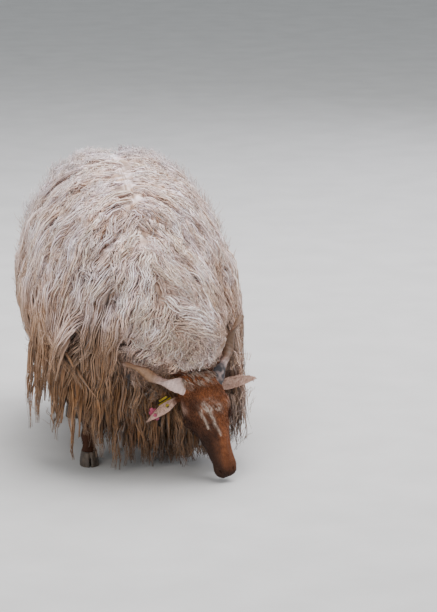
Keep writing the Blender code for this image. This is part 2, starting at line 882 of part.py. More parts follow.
def torso_locks(tree, collection):
    """The torso's locks: rows that part at the spine and fall over both flanks, and a fan over the rump."""
    dice = random.Random(11)
    locks = []
    low_y = SHOULDER_Y + 0.004
    for row in TORSO_ROWS:
        count = int((row.stop - row.start) / row.step) + 1
        for side in (1, -1):
            for i in range(count):
                y = row.start + i * row.step + dice.uniform(-0.010, 0.010)
                _, half_width, middle, top, _, hem = between(TORSO, 0, y)
                turn = math.radians(row.turn + dice.uniform(-3, 3))
                spot = Vector((side * half_width * math.sin(turn), y, middle + (top - middle) * math.cos(turn)))
                root, normal, _, _ = tree.find_nearest(spot)
                lean = 0.9 * smooth((y - 0.26) / 0.18) - 0.25 * smooth((0.02 - y) / 0.15)
                away = Vector((side * math.cos(turn), lean, -math.sin(turn)))
                heading = (away - normal * away.dot(normal)).normalized() + normal * 0.30
                shape = lock_shape(row.length, dice)
                limits = (low_y, 0.520, hem + dice.uniform(0.0, 0.035))
                path = comb(root, heading, shape, tree, COAT_ON_FLANK * 0.50, limits, dice)
                locks.append(lock_object(path, shape, tree, collection))
    for turn in RUMP_TURNS:
        for side in (1, -1) if turn else (1,):
            lean = math.radians(turn)
            spot = Vector((side * 0.12 * math.sin(lean), 0.47, 0.47 + 0.10 * math.cos(lean)))
            root, normal, _, _ = tree.find_nearest(spot)
            heading = Vector((side * math.sin(lean), 0.8, 0.0)) + normal * 0.30
            shape = lock_shape(0.27, dice)
            limits = (low_y, 0.520, 0.24 + dice.uniform(0.0, 0.03))
            path = comb(root, heading.normalized(), shape, tree, COAT_ON_FLANK * 0.40, limits, dice)
            locks.append(lock_object(path, shape, tree, collection))
    return locks


def off_horns(path):
    """Leads a lock's path behind the horns, and ends it where it would cross well in front of one."""
    front = head_axes()[1]
    kept = path[:2]
    for point in path[2:]:
        for horn in HORNS.values():
            base, way = horn_axis(horn)
            share = min(max((point - base).dot(way) / way.length_squared, 0.0), 1.0)
            off = point - base - way * share
            ahead = off.dot(front)
            if (off - front * ahead).length < 0.030 and ahead > -0.030:
                if ahead > 0.035:
                    return kept
                point = point - front * (ahead + 0.030)
        kept.append(point)
    return kept


def neck_locks(tree, collection):
    """The neck's locks: they run towards the head along the crest, and hang to the grass at the sides."""
    dice = random.Random(23)
    locks = []
    for row in NECK_ROWS:
        count = int((row.stop - row.start) / row.step) + 1
        for side in (1, -1):
            for i in range(count):
                place = row.start + (i + 0.25 * side) * row.step + dice.uniform(-0.06, 0.06)
                place = min(max(place, 0.3), len(NECK) - 1.2)
                ring = neck_ring(place, 0.0, 72)
                spot = ring[int(round((row.turn if side > 0 else 360 - row.turn) / 5 + dice.uniform(-0.5, 0.5))) % 72]
                root, normal, _, _ = tree.find_nearest(spot)
                ahead = Vector(NECK[int(place) + 1].middle) - Vector(NECK[int(place)].middle)
                turn = math.radians(row.turn)
                fall = Vector((side * math.cos(turn), 0.0, -math.sin(turn)))
                away = ahead.normalized() * max(1.1 - row.turn / 90, 0.0) + fall * 0.9
                heading = (away - normal * away.dot(normal)).normalized() + normal * 0.30
                hems = [mark[0] for mark in NECK_HEM], [mark[1] for mark in NECK_HEM]
                hem = float(np.interp(root.x + side * 0.03, *hems)) + dice.uniform(0.0, 0.025)
                near_poll = smooth((place - 2.8) / 1.2) if row.turn < 60 else 0.0
                shape = lock_shape(row.length * (1 - 0.55 * near_poll), dice, tuck=0.0)
                limits = (-0.365, SHOULDER_Y - 0.004, hem)
                path = off_horns(comb(root, heading, shape, tree, COAT_ON_FLANK * 0.30, limits, dice))
                if len(path) > 3:
                    locks.append(lock_object(path, shape, tree, collection))
    return locks


def tail_locks(tree, collection, grow=0.0):
    """The tail's locks, which hang past its tip."""
    dice = random.Random(5)
    locks = []
    for i in range(6):
        share = 0.10 + 0.13 * i
        turn = math.radians((-70, 60, 0)[i % 3] + dice.uniform(-12, 12))
        way = Vector((math.sin(turn), math.cos(turn), 0.0))
        spot = TAIL_TOP.lerp(TAIL_TIP, share) + way * 0.04
        root, normal, _, _ = tree.find_nearest(spot)
        shape = LockShape(0.15 * dice.uniform(0.9, 1.1), 0.040, 0.012, 4, 0.0)
        path = comb(root, (way + DOWN).normalized(), shape, tree, 0.006, (0.30, 0.53, 0.165), dice)
        locks.append(lock_object(path, shape, tree, collection, grow))
    return locks


def tail_form(name, grow, collection, finish=None):
    """The tail with its locks fused on."""
    bare = tail_core("bare", 0.0, collection)
    tree = surface_of(bare)
    bpy.data.objects.remove(bare)
    made = tail_core(name, grow, collection, finish)
    return shaped(made, tail_locks(tree, collection, grow))


def main():
    """Builds every node and stands the model on the floor."""
    for old in list(bpy.data.objects):
        bpy.data.objects.remove(old)
    sheep = bpy.data.collections.new("racka_sheep")
    bpy.context.scene.collection.children.link(sheep)

    torso = torso_core(sheep)
    neck = neck_core(sheep)
    skin = surface_of(torso, neck)
    legs = LEGS.values()
    torso_rooms = [leg_form("leg_room", place, CLEAR, sheep) for place in legs]
    torso_rooms += [half_space("front", -1, sheep), tail_form("tail_room", CLEAR, sheep)]
    shaped(torso, torso_locks(skin, sheep), torso_rooms)
    neck_rooms = [leg_form("leg_room", place, CLEAR, sheep) for place in legs]
    neck_rooms += [half_space("rear", 1, sheep), *head_rooms(CLEAR, sheep)]
    neck_rooms += [horn_form("horn_room", horn, CLEAR, sheep) for horn in HORNS.values()]
    neck_rooms += [ear_form("ear_room", ear, 1.6 * CLEAR, sheep) for ear in EARS.values()]
    neck_rooms += [tag_form("tag_room", tag, CLEAR, sheep) for tag in TAGS.values()]
    shaped(neck, neck_locks(skin, sheep), neck_rooms)
    skull = head(sheep)
    nodes = [torso, neck, skull, *eyes(sheep)]
    for name, place in LEGS.items():
        nodes.append(leg("leg_" + name, place, sheep))
        nodes.append(hoof("hoof_" + name, place, sheep))
    for name, horn in HORNS.items():
        made = horn_form(name, horn, 0.0, sheep, "horn")
        nodes.append(shaped(made, cut=[head_form("skull_room", GAP, sheep)]))
    for name, ear in EARS.items():
        made = ear_form(name, ear, 0.0, sheep, "ear")
        room = [head_form("skull_room", GAP, sheep)]
        if ear.side < 0:
            room += [pin_room(tag, GAP, sheep) for tag in TAGS.values()]
        nodes.append(shaped(made, cut=room))
    for name, tag in TAGS.items():
        nodes.append(tag_form(name, tag, 0.0, sheep, name.replace("tag_", "") + "_tag"))
    tail = tail_form("tail", 0.0, sheep, "fleece")
    nodes.append(tail)

    root = bpy.data.objects.new("racka_sheep", None)
    sheep.objects.link(root)
    corners = [vert.co for node in nodes for vert in node.data.vertices]
    low = Vector(tuple(min(c[i] for c in corners) for i in range(3)))
    high = Vector(tuple(max(c[i] for c in corners) for i in range(3)))
    for node in nodes:
        node.parent = root
    root.location = (-(low.x + high.x) / 2, -(low.y + high.y) / 2, 0.0)


main()
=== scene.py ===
"""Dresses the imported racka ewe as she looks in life: skin, a long wavy fleece, corkscrew horns and ear tags.

Metres, +Z up; she faces -Y and +X is her left. The sizes are those of the solids, in the frame in which they
were drawn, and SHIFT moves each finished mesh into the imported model's frame.
"""

from __future__ import annotations

import json
import logging
import math
from collections.abc import Iterator
from dataclasses import dataclass, field
from enum import Enum

import bmesh
import bpy
import numpy as np
from mathutils import Matrix, Vector
from mathutils.bvhtree import BVHTree

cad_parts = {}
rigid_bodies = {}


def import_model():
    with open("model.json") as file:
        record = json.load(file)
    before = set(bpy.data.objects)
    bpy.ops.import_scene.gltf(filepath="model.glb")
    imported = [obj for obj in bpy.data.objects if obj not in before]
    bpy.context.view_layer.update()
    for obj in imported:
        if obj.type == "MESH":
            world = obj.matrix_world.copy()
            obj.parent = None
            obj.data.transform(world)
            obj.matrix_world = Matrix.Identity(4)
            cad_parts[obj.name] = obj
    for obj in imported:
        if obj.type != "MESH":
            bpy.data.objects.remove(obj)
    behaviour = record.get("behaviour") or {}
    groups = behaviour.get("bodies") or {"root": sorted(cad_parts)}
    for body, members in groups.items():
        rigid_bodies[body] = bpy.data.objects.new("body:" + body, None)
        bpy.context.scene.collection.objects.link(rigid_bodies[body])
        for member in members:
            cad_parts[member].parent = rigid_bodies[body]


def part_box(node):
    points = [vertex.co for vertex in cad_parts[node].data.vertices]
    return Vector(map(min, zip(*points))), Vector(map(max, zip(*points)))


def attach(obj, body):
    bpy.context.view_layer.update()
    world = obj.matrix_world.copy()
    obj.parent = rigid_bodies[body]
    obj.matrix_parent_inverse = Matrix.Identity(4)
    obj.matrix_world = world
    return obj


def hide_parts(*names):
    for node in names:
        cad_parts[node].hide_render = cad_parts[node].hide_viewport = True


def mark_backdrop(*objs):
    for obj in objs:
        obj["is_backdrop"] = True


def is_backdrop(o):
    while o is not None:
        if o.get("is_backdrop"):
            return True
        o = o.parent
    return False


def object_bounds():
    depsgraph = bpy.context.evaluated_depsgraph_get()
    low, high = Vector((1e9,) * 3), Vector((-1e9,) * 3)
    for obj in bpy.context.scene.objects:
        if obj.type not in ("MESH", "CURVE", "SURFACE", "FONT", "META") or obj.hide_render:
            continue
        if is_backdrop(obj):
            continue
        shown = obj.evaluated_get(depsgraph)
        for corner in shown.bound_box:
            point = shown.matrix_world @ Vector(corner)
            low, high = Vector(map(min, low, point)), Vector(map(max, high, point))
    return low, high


for _old in list(bpy.data.objects):
    bpy.data.objects.remove(_old)
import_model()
CAD_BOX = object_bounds()

LOG = logging.getLogger("racka")
DOWN = Vector((0.0, 0.0, -1.0))
GOLDEN = 0.618034

Array = np.ndarray
Dice = np.random.Generator
Piece = bpy.types.Object
Material = bpy.types.Material
Socket = bpy.types.NodeSocket


class Side(Enum):
    """The animal's own left and right."""

    LEFT = 1
    RIGHT = -1


class Region(Enum):
    """The parts of the fleece, each one a mesh of its own."""

    LEFT_FLANK = "fleece_left_flank"
    RIGHT_FLANK = "fleece_right_flank"
    LEFT_BACK = "fleece_left_back"
    RIGHT_BACK = "fleece_right_back"
    RUMP = "fleece_rump"
    TOPLINE = "fleece_topline"
    LEFT_CREST = "fleece_left_crest"
    RIGHT_CREST = "fleece_right_crest"
    LEFT_NECK = "fleece_left_neck"
    RIGHT_NECK = "fleece_right_neck"
    LEFT_THROAT = "fleece_left_throat"
    RIGHT_THROAT = "fleece_right_throat"
    POLL = "fleece_poll"
    TAIL = "fleece_tail"


# ---- places and curves ----


def ease(share: Array | float) -> Array | float:
    """A share held between 0 and 1 and eased at both ends."""
    share = np.clip(share, 0.0, 1.0)
    return share * share * (3 - 2 * share)


def read_table(rows: tuple, place: float) -> Array:
    """Reads a table of sections at one place with a curve that does not overshoot.

    Args:
        rows: The sections, each a tuple whose first number is its place, in rising order.
        place: Where to read.

    Returns:
        Every column of the table at that place.
    """
    table = np.array(rows, float)
    marks = table[:, 0]
    place = float(np.clip(place, marks[0], marks[-1]))
    i = int(np.clip(np.searchsorted(marks, place) - 1, 0, len(marks) - 2))
    gap = marks[i + 1] - marks[i]
    share = (place - marks[i]) / gap
    slopes = np.gradient(table, marks, axis=0)
    step = (table[i + 1] - table[i]) / gap
    flat = step == 0
    safe = np.where(flat, 1.0, step)
    steepest = 3.0
    first, second = (np.where(flat, 0.0, step * np.clip(slopes[k] / safe, 0.0, steepest)) for k in (i, i + 1))
    a = 2 * share**3 - 3 * share**2 + 1
    b = share**3 - 2 * share**2 + share
    c = -2 * share**3 + 3 * share**2
    d = share**3 - share**2
    return a * table[i] + b * gap * first + c * table[i + 1] + d * gap * second


def rounds(count: int) -> Array:
    """Evenly spaced turns round a ring, in radians."""
    return np.arange(count) * 2 * np.pi / count


def bell(value: Array | float, width: float) -> Array:
    """A bell curve of 1 where the value is nothing."""
    return np.exp(-((value / width) ** 2))


def toward(colours: Array, target: Array, share: Array) -> None:
    """Mixes each row of colours towards a target, in place.

    Args:
        colours: One row for each point.
        target: One colour, or one row for each point.
        share: How far each row goes.
    """
    colours += (target - colours) * share[:, None]


def off_bar(points: Array, bar: tuple) -> Array:
    """The way from the nearest place on a straight bar to each point.

    Args:
        points: The points, with 3 numbers in the last axis.
        bar: The bar's foot, and the way from there to its end.

    Returns:
        A row of 3 for each point.
    """
    foot, way = (np.array(v) for v in bar)
    share = np.clip((points - foot) @ way / (way @ way), 0.0, 1.0)
    return points - foot - share[..., None] * way


def drawn_shift(hoof_x: float = 0.108, hoof_low_y: float = -0.125 - 0.004 - 0.031) -> Vector:
    """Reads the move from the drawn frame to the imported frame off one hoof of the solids.

    Args:
        hoof_x: The middle of the hoof in the drawn frame.
        hoof_low_y: The hoof's toe in the drawn frame.

    Returns:
        The move.
    """
    low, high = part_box("hoof_front_left")
    return Vector(((low[0] + high[0]) / 2 - hoof_x, low[1] - hoof_low_y, 0.0))


SHIFT = drawn_shift()


def linked(name: str, mesh: bpy.types.Mesh) -> Piece:
    """Makes an object of a mesh and links it to the scene.

    Args:
        name: The object's name.
        mesh: Its mesh.

    Returns:
        The object.
    """
    made = bpy.data.objects.new(name, mesh)
    bpy.context.scene.collection.objects.link(made)
    return made


def face_rank(face: bmesh.types.BMFace) -> int:
    """A face's place in an order that is the same in every run, from its three lowest points."""
    most = 1 << 16
    low, middle, high = sorted(vert.index for vert in face.verts)[:3]
    return (low * most + middle) * most + high


def moulded(name: str, bm: bmesh.types.BMesh, turn: Matrix | None = None, smooth: bool = False) -> Piece:
    """Turns a bmesh into an object, with its faces in a fixed order, and frees it.

    Args:
        name: The object's name.
        bm: The bmesh, used up.
        turn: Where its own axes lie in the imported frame.
        smooth: Whether the faces are shaded smooth.

    Returns:
        The object, linked to the scene.
    """
    if turn is not None:
        bm.transform(turn)
    bm.verts.index_update()
    bm.faces.sort(key=face_rank)
    mesh = bpy.data.meshes.new(name)
    bm.to_mesh(mesh)
    bm.free()
    if smooth:
        mesh.shade_smooth()
    return linked(name, mesh)


def wear(made: Piece, finish: Material) -> None:
    """Gives a piece one material in place of any it has."""
    made.data.materials.clear()
    made.data.materials.append(finish)


def big_mesh(name: str, verts: Array, faces: Array) -> Piece:
    """Makes a smooth object from arrays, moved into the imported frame.

    Args:
        name: The piece's name.
        verts: Its points in the drawn frame, one row each.
        faces: Its faces, one row each, all with the same number of corners.

    Returns:
        The object, linked to the scene.
    """
    sides = faces.shape[1]
    mesh = bpy.data.meshes.new(name)
    mesh.vertices.add(len(verts))
    placed = np.asarray(verts, np.float32) + np.array(SHIFT, np.float32)
    mesh.vertices.foreach_set("co", placed.ravel())
    mesh.loops.add(faces.size)
    mesh.loops.foreach_set("vertex_index", np.asarray(faces, np.int32).ravel())
    mesh.polygons.add(len(faces))
    mesh.polygons.foreach_set("loop_start", np.arange(0, faces.size, sides, dtype=np.int32))
    mesh.update(calc_edges=True)
    mesh.polygons.foreach_set("use_smooth", np.full(len(faces), True))
    return linked(name, mesh)


def loft_arrays(rings: Array) -> tuple[Array, Array]:
    """Skins a closed tube through rings, with both ends closed by a fan.

    Args:
        rings: Points in an array of rings by sides by 3.

    Returns:
        The points and the triangles.
    """
    count, sides = rings.shape[:2]
    verts = np.concatenate([rings.reshape(-1, 3), rings[:1].mean(axis=1), rings[-1:].mean(axis=1)])
    i = np.arange(sides)
    j = (i + 1) % sides
    tris = []
    for r in range(count - 1):
        a, b = r * sides, (r + 1) * sides
        tris.append(np.stack([a + i, a + j, b + j], 1))
        tris.append(np.stack([a + i, b + j, b + i], 1))
    foot, head = count * sides, count * sides + 1
    tris.append(np.stack([j, i, np.full(sides, foot)], 1))
    last = (count - 1) * sides
    tris.append(np.stack([last + i, last + j, np.full(sides, head)], 1))
    return verts, np.concatenate(tris)


def outward(made: Piece) -> Piece:
    """Turns every face of a closed object outwards and returns the object."""
    bm = bmesh.new()
    bm.from_mesh(made.data)
    bmesh.ops.recalc_face_normals(bm, faces=bm.faces)
    bm.to_mesh(made.data)
    bm.free()
    return made


def loft(name: str, rings: Array) -> Piece:
    """One closed object skinned through rings, an array of rings by sides by 3."""
    return outward(big_mesh(name, *loft_arrays(rings)))


def ellipsoid(name: str, centre: Vector, radii: tuple, turn: Matrix, sides: int = 32) -> Piece:
    """An ellipsoid with its own axes.

    Args:
        name: The piece's name.
        centre: Its middle in the drawn frame.
        radii: Its three half sizes.
        turn: The rotation of its axes.
        sides: How many sides it has round its third axis.

    Returns:
        The object.
    """
    bm = bmesh.new()
    bmesh.ops.create_uvsphere(bm, u_segments=sides, v_segments=sides * 3 // 4, radius=1.0)
    placed = Matrix.Translation(centre + SHIFT) @ turn.to_4x4() @ Matrix.Diagonal((*radii, 1.0))
    return moulded(name, bm, placed, smooth=True)


def bake(made: Piece) -> Piece:
    """Applies an object's modifiers to its mesh and returns the object."""
    bpy.context.view_layer.update()
    shown = made.evaluated_get(bpy.context.evaluated_depsgraph_get())
    mesh = bpy.data.meshes.new_from_object(shown)
    made.modifiers.clear()
    made.data = mesh
    return made


def combine(target: Piece, tools: list, operation: str) -> Piece:
    """Joins tools to the target or cuts them from it, and removes them.

    Args:
        target: The object that stays.
        tools: The closed objects that are used up.
        operation: UNION or DIFFERENCE.

    Returns:
        The target with its new mesh.
    """
    group = bpy.data.collections.new("tools")
    bpy.context.scene.collection.children.link(group)
    for tool in tools:
        bpy.context.scene.collection.objects.unlink(tool)
        group.objects.link(tool)
    boolean = target.modifiers.new("shape", "BOOLEAN")
    boolean.operation = operation
    boolean.operand_type = "COLLECTION"
    boolean.collection = group
    boolean.solver = "MANIFOLD"
    bake(target)
    for tool in list(group.objects):
        bpy.data.objects.remove(tool)
    bpy.data.collections.remove(group)
    return target


def points_of(made: Piece) -> Array:
    """The points of an object's mesh in the drawn frame, one row each."""
    co = np.empty(len(made.data.vertices) * 3, np.float32)
    made.data.vertices.foreach_get("co", co)
    return co.reshape(-1, 3).astype(float) - np.array(SHIFT)


def set_points(made: Piece, points: Array) -> None:
    """Moves an object's points to new places in the drawn frame."""
    placed = (points + np.array(SHIFT)).astype(np.float32)
    made.data.vertices.foreach_set("co", placed.ravel())
    made.data.update()


def normals_of(made: Piece) -> Array:
    """The normals at an object's points, one row each."""
    out = np.empty(len(made.data.vertices) * 3, np.float32)
    made.data.vertex_normals.foreach_get("vector", out)
    return out.reshape(-1, 3).astype(float)


def paint(made: Piece, name: str, colours: Array) -> None:
    """Gives an object a colour for each point.

    Args:
        made: The object.
        name: The name that its material reads.
        colours: One row of red, green and blue for each point.
    """
    layer = made.data.color_attributes.new(name, "FLOAT_COLOR", "POINT")
    rgba = np.ones((len(colours), 4), np.float32)
    rgba[:, :3] = colours
    layer.data.foreach_set("color", rgba.ravel())


def unwrap(made: Piece, uvs: Array, corners: Array) -> None:
    """Gives a coat piece its OFBake map.

    Args:
        made: The piece.
        uvs: A place for each point.
        corners: The point of each face corner.
    """
    layer = made.data.uv_layers.new(name="OFBake")
    layer.uv.foreach_set("vector", np.clip(uvs, 0.0, 1.0)[corners].astype(np.float32).ravel())


def lumps(points: Array, size: float, seed: int) -> Array:
    """A cheap smooth noise from a few crossed waves.

    Args:
        points: Places, one row each.
        size: The size of a lump in metres.
        seed: Which noise.

    Returns:
        A number from about -1 to 1 for each place.
    """
    dice = np.random.default_rng(seed)
    total = np.zeros(len(points))
    waves, full_height = 9, 3.2
    for _ in range(waves):
        way = dice.normal(size=3)
        way /= np.linalg.norm(way)
        pace = dice.uniform(0.6, 1.7) * 2 * math.pi / (size * 2)
        total += np.sin(points @ way * pace + dice.uniform(0, 7))
    return total / full_height


# ---- finishes ----


class Graph:
    """A short way to write a material's nodes."""

    def __init__(self, name: str) -> None:
        """Starts a material with one Principled shader."""
        self.material = bpy.data.materials.new(name)
        self.material.use_nodes = True
        self.tree = self.material.node_tree
        self.shader = self.tree.nodes["Principled BSDF"]

    def node(self, kind: str, inputs: dict | None = None, **settings: object) -> bpy.types.Node:
        """Adds a node.

        Args:
            kind: The node's type name.
            inputs: Values or sockets for its inputs, by name or number.
            settings: Its properties.

        Returns:
            The node.
        """
        made = self.tree.nodes.new(kind)
        for key, value in settings.items():
            setattr(made, key, value)
        for key, value in (inputs or {}).items():
            self.feed(made, key, value)
        return made

    def feed(self, node: bpy.types.Node, key: str | int, value: object) -> None:
        """Links a socket to an input, or sets the input.

        Args:
            node: The node.
            key: Its input's name or number.
            value: A socket, a number or a tuple.
        """
        if isinstance(value, Socket):
            self.tree.links.new(value, node.inputs[key])
        else:
            node.inputs[key].default_value = value

    def set(self, **values: object) -> None:
        """Sets or links the shader's inputs, with spaces written as underscores."""
        for key, value in values.items():
            self.feed(self.shader, key.replace("_", " "), value)

    def painted(self, layer: str) -> Socket:
        """The colours painted on the piece's points under a name."""
        return self.node("ShaderNodeVertexColor", layer_name=layer).outputs[0]

    def ramp(self, fac: object, stops: tuple) -> Socket:
        """A colour ramp.

        Args:
            fac: What drives it.
            stops: Pairs of place and colour.

        Returns:
            Its colour socket.
        """
        made = self.node("ShaderNodeValToRGB", {0: fac})
        bar = made.color_ramp.elements
        while len(bar) < len(stops):
            bar.new(0.5)
        for stop, (at, colour) in zip(bar, stops):
            stop.position = at
            stop.color = (*colour, 1.0)
        return made.outputs[0]

    def mix(self, fac: object, a: object, b: object, blend: str = "MIX") -> Socket:
        """Mixes two colours.

        Args:
            fac: How much of the second.
            a: The first colour or socket.
            b: The second colour or socket.
            blend: How they mix.

        Returns:
            The mixed colour's socket.
        """
        made = self.node("ShaderNodeMix", data_type="RGBA", blend_type=blend)
        for key, value in ((0, fac), (6, a), (7, b)):
            if isinstance(value, tuple):
                value = (*value, 1.0)
            self.feed(made, key, value)
        return made.outputs[2]

    def noise(self, scale: float, detail: float = 3.0, stretch: tuple | None = None) -> Socket:
        """Noise in the object's own metres.

        Args:
            scale: Lumps to the metre.
            detail: How many octaves.
            stretch: A scale for each axis first.

        Returns:
            The noise's value socket.
        """
        spot = self.node("ShaderNodeTexCoord").outputs["Object"]
        if stretch:
            spot = self.node("ShaderNodeMapping", {"Vector": spot, "Scale": stretch}).outputs[0]
        made = self.node("ShaderNodeTexNoise", {"Vector": spot, "Scale": scale, "Detail": detail})
        return made.outputs[0]

    def bump(self, height: object, depth: float, strength: float = 1.0) -> None:
        """Adds a bump to the shader.

        Args:
            height: The height's socket.
            depth: Its full height in metres.
            strength: How much of it shows.
        """
        inputs = {"Height": height, "Distance": depth, "Strength": strength}
        self.set(Normal=self.node("ShaderNodeBump", inputs).outputs[0])


@dataclass(frozen=True)
class WoolFinish:
    """Wavy wool, matt and a little soft at its edges; its broad colour and its painted light and shade are set
    on the points.
    """

    name: str = "wool"
    roughness: float = 0.88
    sheen: float = 0.30
    fibres: tuple = (3.6, 8.0, 60.0)

    def material(self) -> Material:
        """The wool's material."""
        g = Graph(self.name)
        base = g.painted("Wool")
        place = g.node("ShaderNodeMapping", {"Vector": g.painted("Fibre"), "Scale": self.fibres}).outputs[0]
        fibre = g.node("ShaderNodeTexNoise", {"Vector": place, "Scale": 1.0, "Detail": 1.0}).outputs[0]
        # Fine fibre lines across each strand, with painted shade in the dark gaps between the fibres.
        fine = g.ramp(fibre, ((0.36, (0.54, 0.46, 0.40)), (0.55, (1.20, 1.17, 1.17))))
        dirt = g.ramp(g.noise(16.0, 4.0), ((0.42, (0.90, 0.84, 0.76)), (0.60, (1.04, 1.04, 1.05))))
        colour = g.mix(1.0, g.mix(1.0, base, fine, "MULTIPLY"), dirt, "MULTIPLY")
        g.set(Base_Color=colour, Roughness=self.roughness)
        g.set(Sheen_Weight=self.sheen, Sheen_Roughness=0.5, Specular_IOR_Level=0.25)
        g.bump(fibre, 0.0014, 0.8)
        return g.material


@dataclass(frozen=True)
class CoatFinish:
    """Short flat hair on skin; the coat's marks and its painted shade are set on the points."""

    name: str
    layer: str
    roughness: float = 0.72

    def material(self) -> Material:
        """The short coat's material."""
        g = Graph(self.name)
        base = g.painted(self.layer)
        hair = g.noise(520.0, 3.0, (1.0, 1.0, 0.30))
        fine = g.ramp(hair, ((0.32, (0.70, 0.66, 0.62)), (0.68, (1.18, 1.16, 1.14))))
        patch = g.ramp(g.noise(60.0, 3.0), ((0.38, (0.88, 0.84, 0.80)), (0.62, (1.08, 1.08, 1.06))))
        g.set(Base_Color=g.mix(1.0, g.mix(1.0, base, fine, "MULTIPLY"), patch, "MULTIPLY"))
        g.set(Roughness=self.roughness, Sheen_Weight=0.04, Specular_IOR_Level=0.18)
        g.bump(hair, 0.0012, 0.7)
        return g.material


@dataclass(frozen=True)
class HornFinish:
    """Pale ringed horn with a pinkish base, brown edges and a smooth worn tip."""

    name: str = "horn_keratin"

    def material(self) -> Material:
        """The horn's material."""
        g = Graph(self.name)
        base = g.painted("Horn")
        grain = g.ramp(g.noise(260.0, 4.0), ((0.30, (0.78, 0.74, 0.70)), (0.66, (1.10, 1.10, 1.08))))
        g.set(Base_Color=g.mix(1.0, base, grain, "MULTIPLY"))
        g.set(Roughness=g.ramp(g.noise(90.0, 2.0), ((0.3, (0.42, 0.42, 0.42)), (0.7, (0.66, 0.66, 0.66)))))
        g.bump(g.noise(340.0, 3.0), 0.0006, 0.7)
        return g.material


@dataclass(frozen=True)
class HoofFinish:
    """Dark horn with fine upright flutes and patches of dried mud."""

    name: str = "hoof_horn"

    def material(self) -> Material:
        """The hoof's material."""
        g = Graph(self.name)
        flutes = g.noise(420.0, 3.0, (1.0, 1.0, 0.12))
        tone = g.ramp(flutes, ((0.3, (0.030, 0.022, 0.017)), (0.7, (0.105, 0.078, 0.056))))
        mud = g.ramp(g.noise(45.0, 4.0), ((0.50, (0.0, 0.0, 0.0)), (0.66, (0.75, 0.75, 0.75))))
        g.set(Base_Color=g.mix(mud, tone, (0.16, 0.12, 0.085)), Roughness=0.55)
        g.bump(flutes, 0.0008, 0.8)
        return g.material


@dataclass(frozen=True)
class EyeFinish:
    """A wet amber eye with a dark level pupil; its pattern is painted on the points."""

    name: str = "eye_wet"

    def material(self) -> Material:
        """The eye's material."""
        g = Graph(self.name)
        base = g.painted("Iris")
        rays = g.ramp(g.noise(900.0, 2.0), ((0.35, (0.70, 0.66, 0.60)), (0.65, (1.20, 1.15, 1.10))))
        g.set(Base_Color=g.mix(1.0, base, rays, "MULTIPLY"), Roughness=0.12)
        g.set(Coat_Weight=1.0, Coat_Roughness=0.03)
        return g.material


@dataclass(frozen=True)
class TagFinish:
    """Moulded tag plastic, scuffed and a little dirty."""

    name: str
    colour: tuple
    bars: float = 0.0

    def material(self, seat: Vector, turn: Matrix) -> Material:
        """The tag's material, with dark printed bars along its plate where it has any.

        Args:
            seat: The plate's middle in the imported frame.
            turn: The plate's rotation.

        Returns:
            The material.
        """
        g = Graph(self.name)
        dark = tuple(c * 0.55 for c in self.colour)
        scuff = g.ramp(g.noise(150.0, 4.0), ((0.34, dark), (0.62, self.colour)))
        if self.bars:
            spot = g.node("ShaderNodeTexCoord").outputs["Object"]
            own = {"Vector": spot, "Location": tuple(seat), "Rotation": tuple(turn.to_euler())}
            local = g.node("ShaderNodeMapping", own, vector_type="TEXTURE").outputs[0]
            across = g.node("ShaderNodeSeparateXYZ", {0: local}).outputs[1]
            pace = {0: across, 1: 2 * math.pi / self.bars}
            wave = g.node("ShaderNodeMath", pace, operation="MULTIPLY").outputs[0]
            wave = g.node("ShaderNodeMath", {0: wave}, operation="SINE").outputs[0]
            print_mask = g.ramp(wave, ((0.30, (0.0, 0.0, 0.0)), (0.45, (0.95, 0.95, 0.95))))
            scuff = g.mix(print_mask, scuff, (0.012, 0.010, 0.012))
        g.set(Base_Color=scuff, Roughness=g.ramp(g.noise(300.0), ((0.3, (0.35,) * 3), (0.7, (0.60,) * 3))))
        g.bump(g.noise(500.0, 2.0), 0.0003, 0.5)
        return g.material


@dataclass(frozen=True)
class FloorFinish:
    """A plain pale floor."""

    name: str = "pale_floor"

    def material(self) -> Material:
        """The floor's material."""
        g = Graph(self.name)
        tone = g.ramp(g.noise(6.0, 4.0), ((0.3, (0.62, 0.62, 0.60)), (0.7, (0.68, 0.68, 0.66))))
        g.set(Base_Color=tone, Roughness=0.85)
        return g.material


# ---- the animal's forms ----


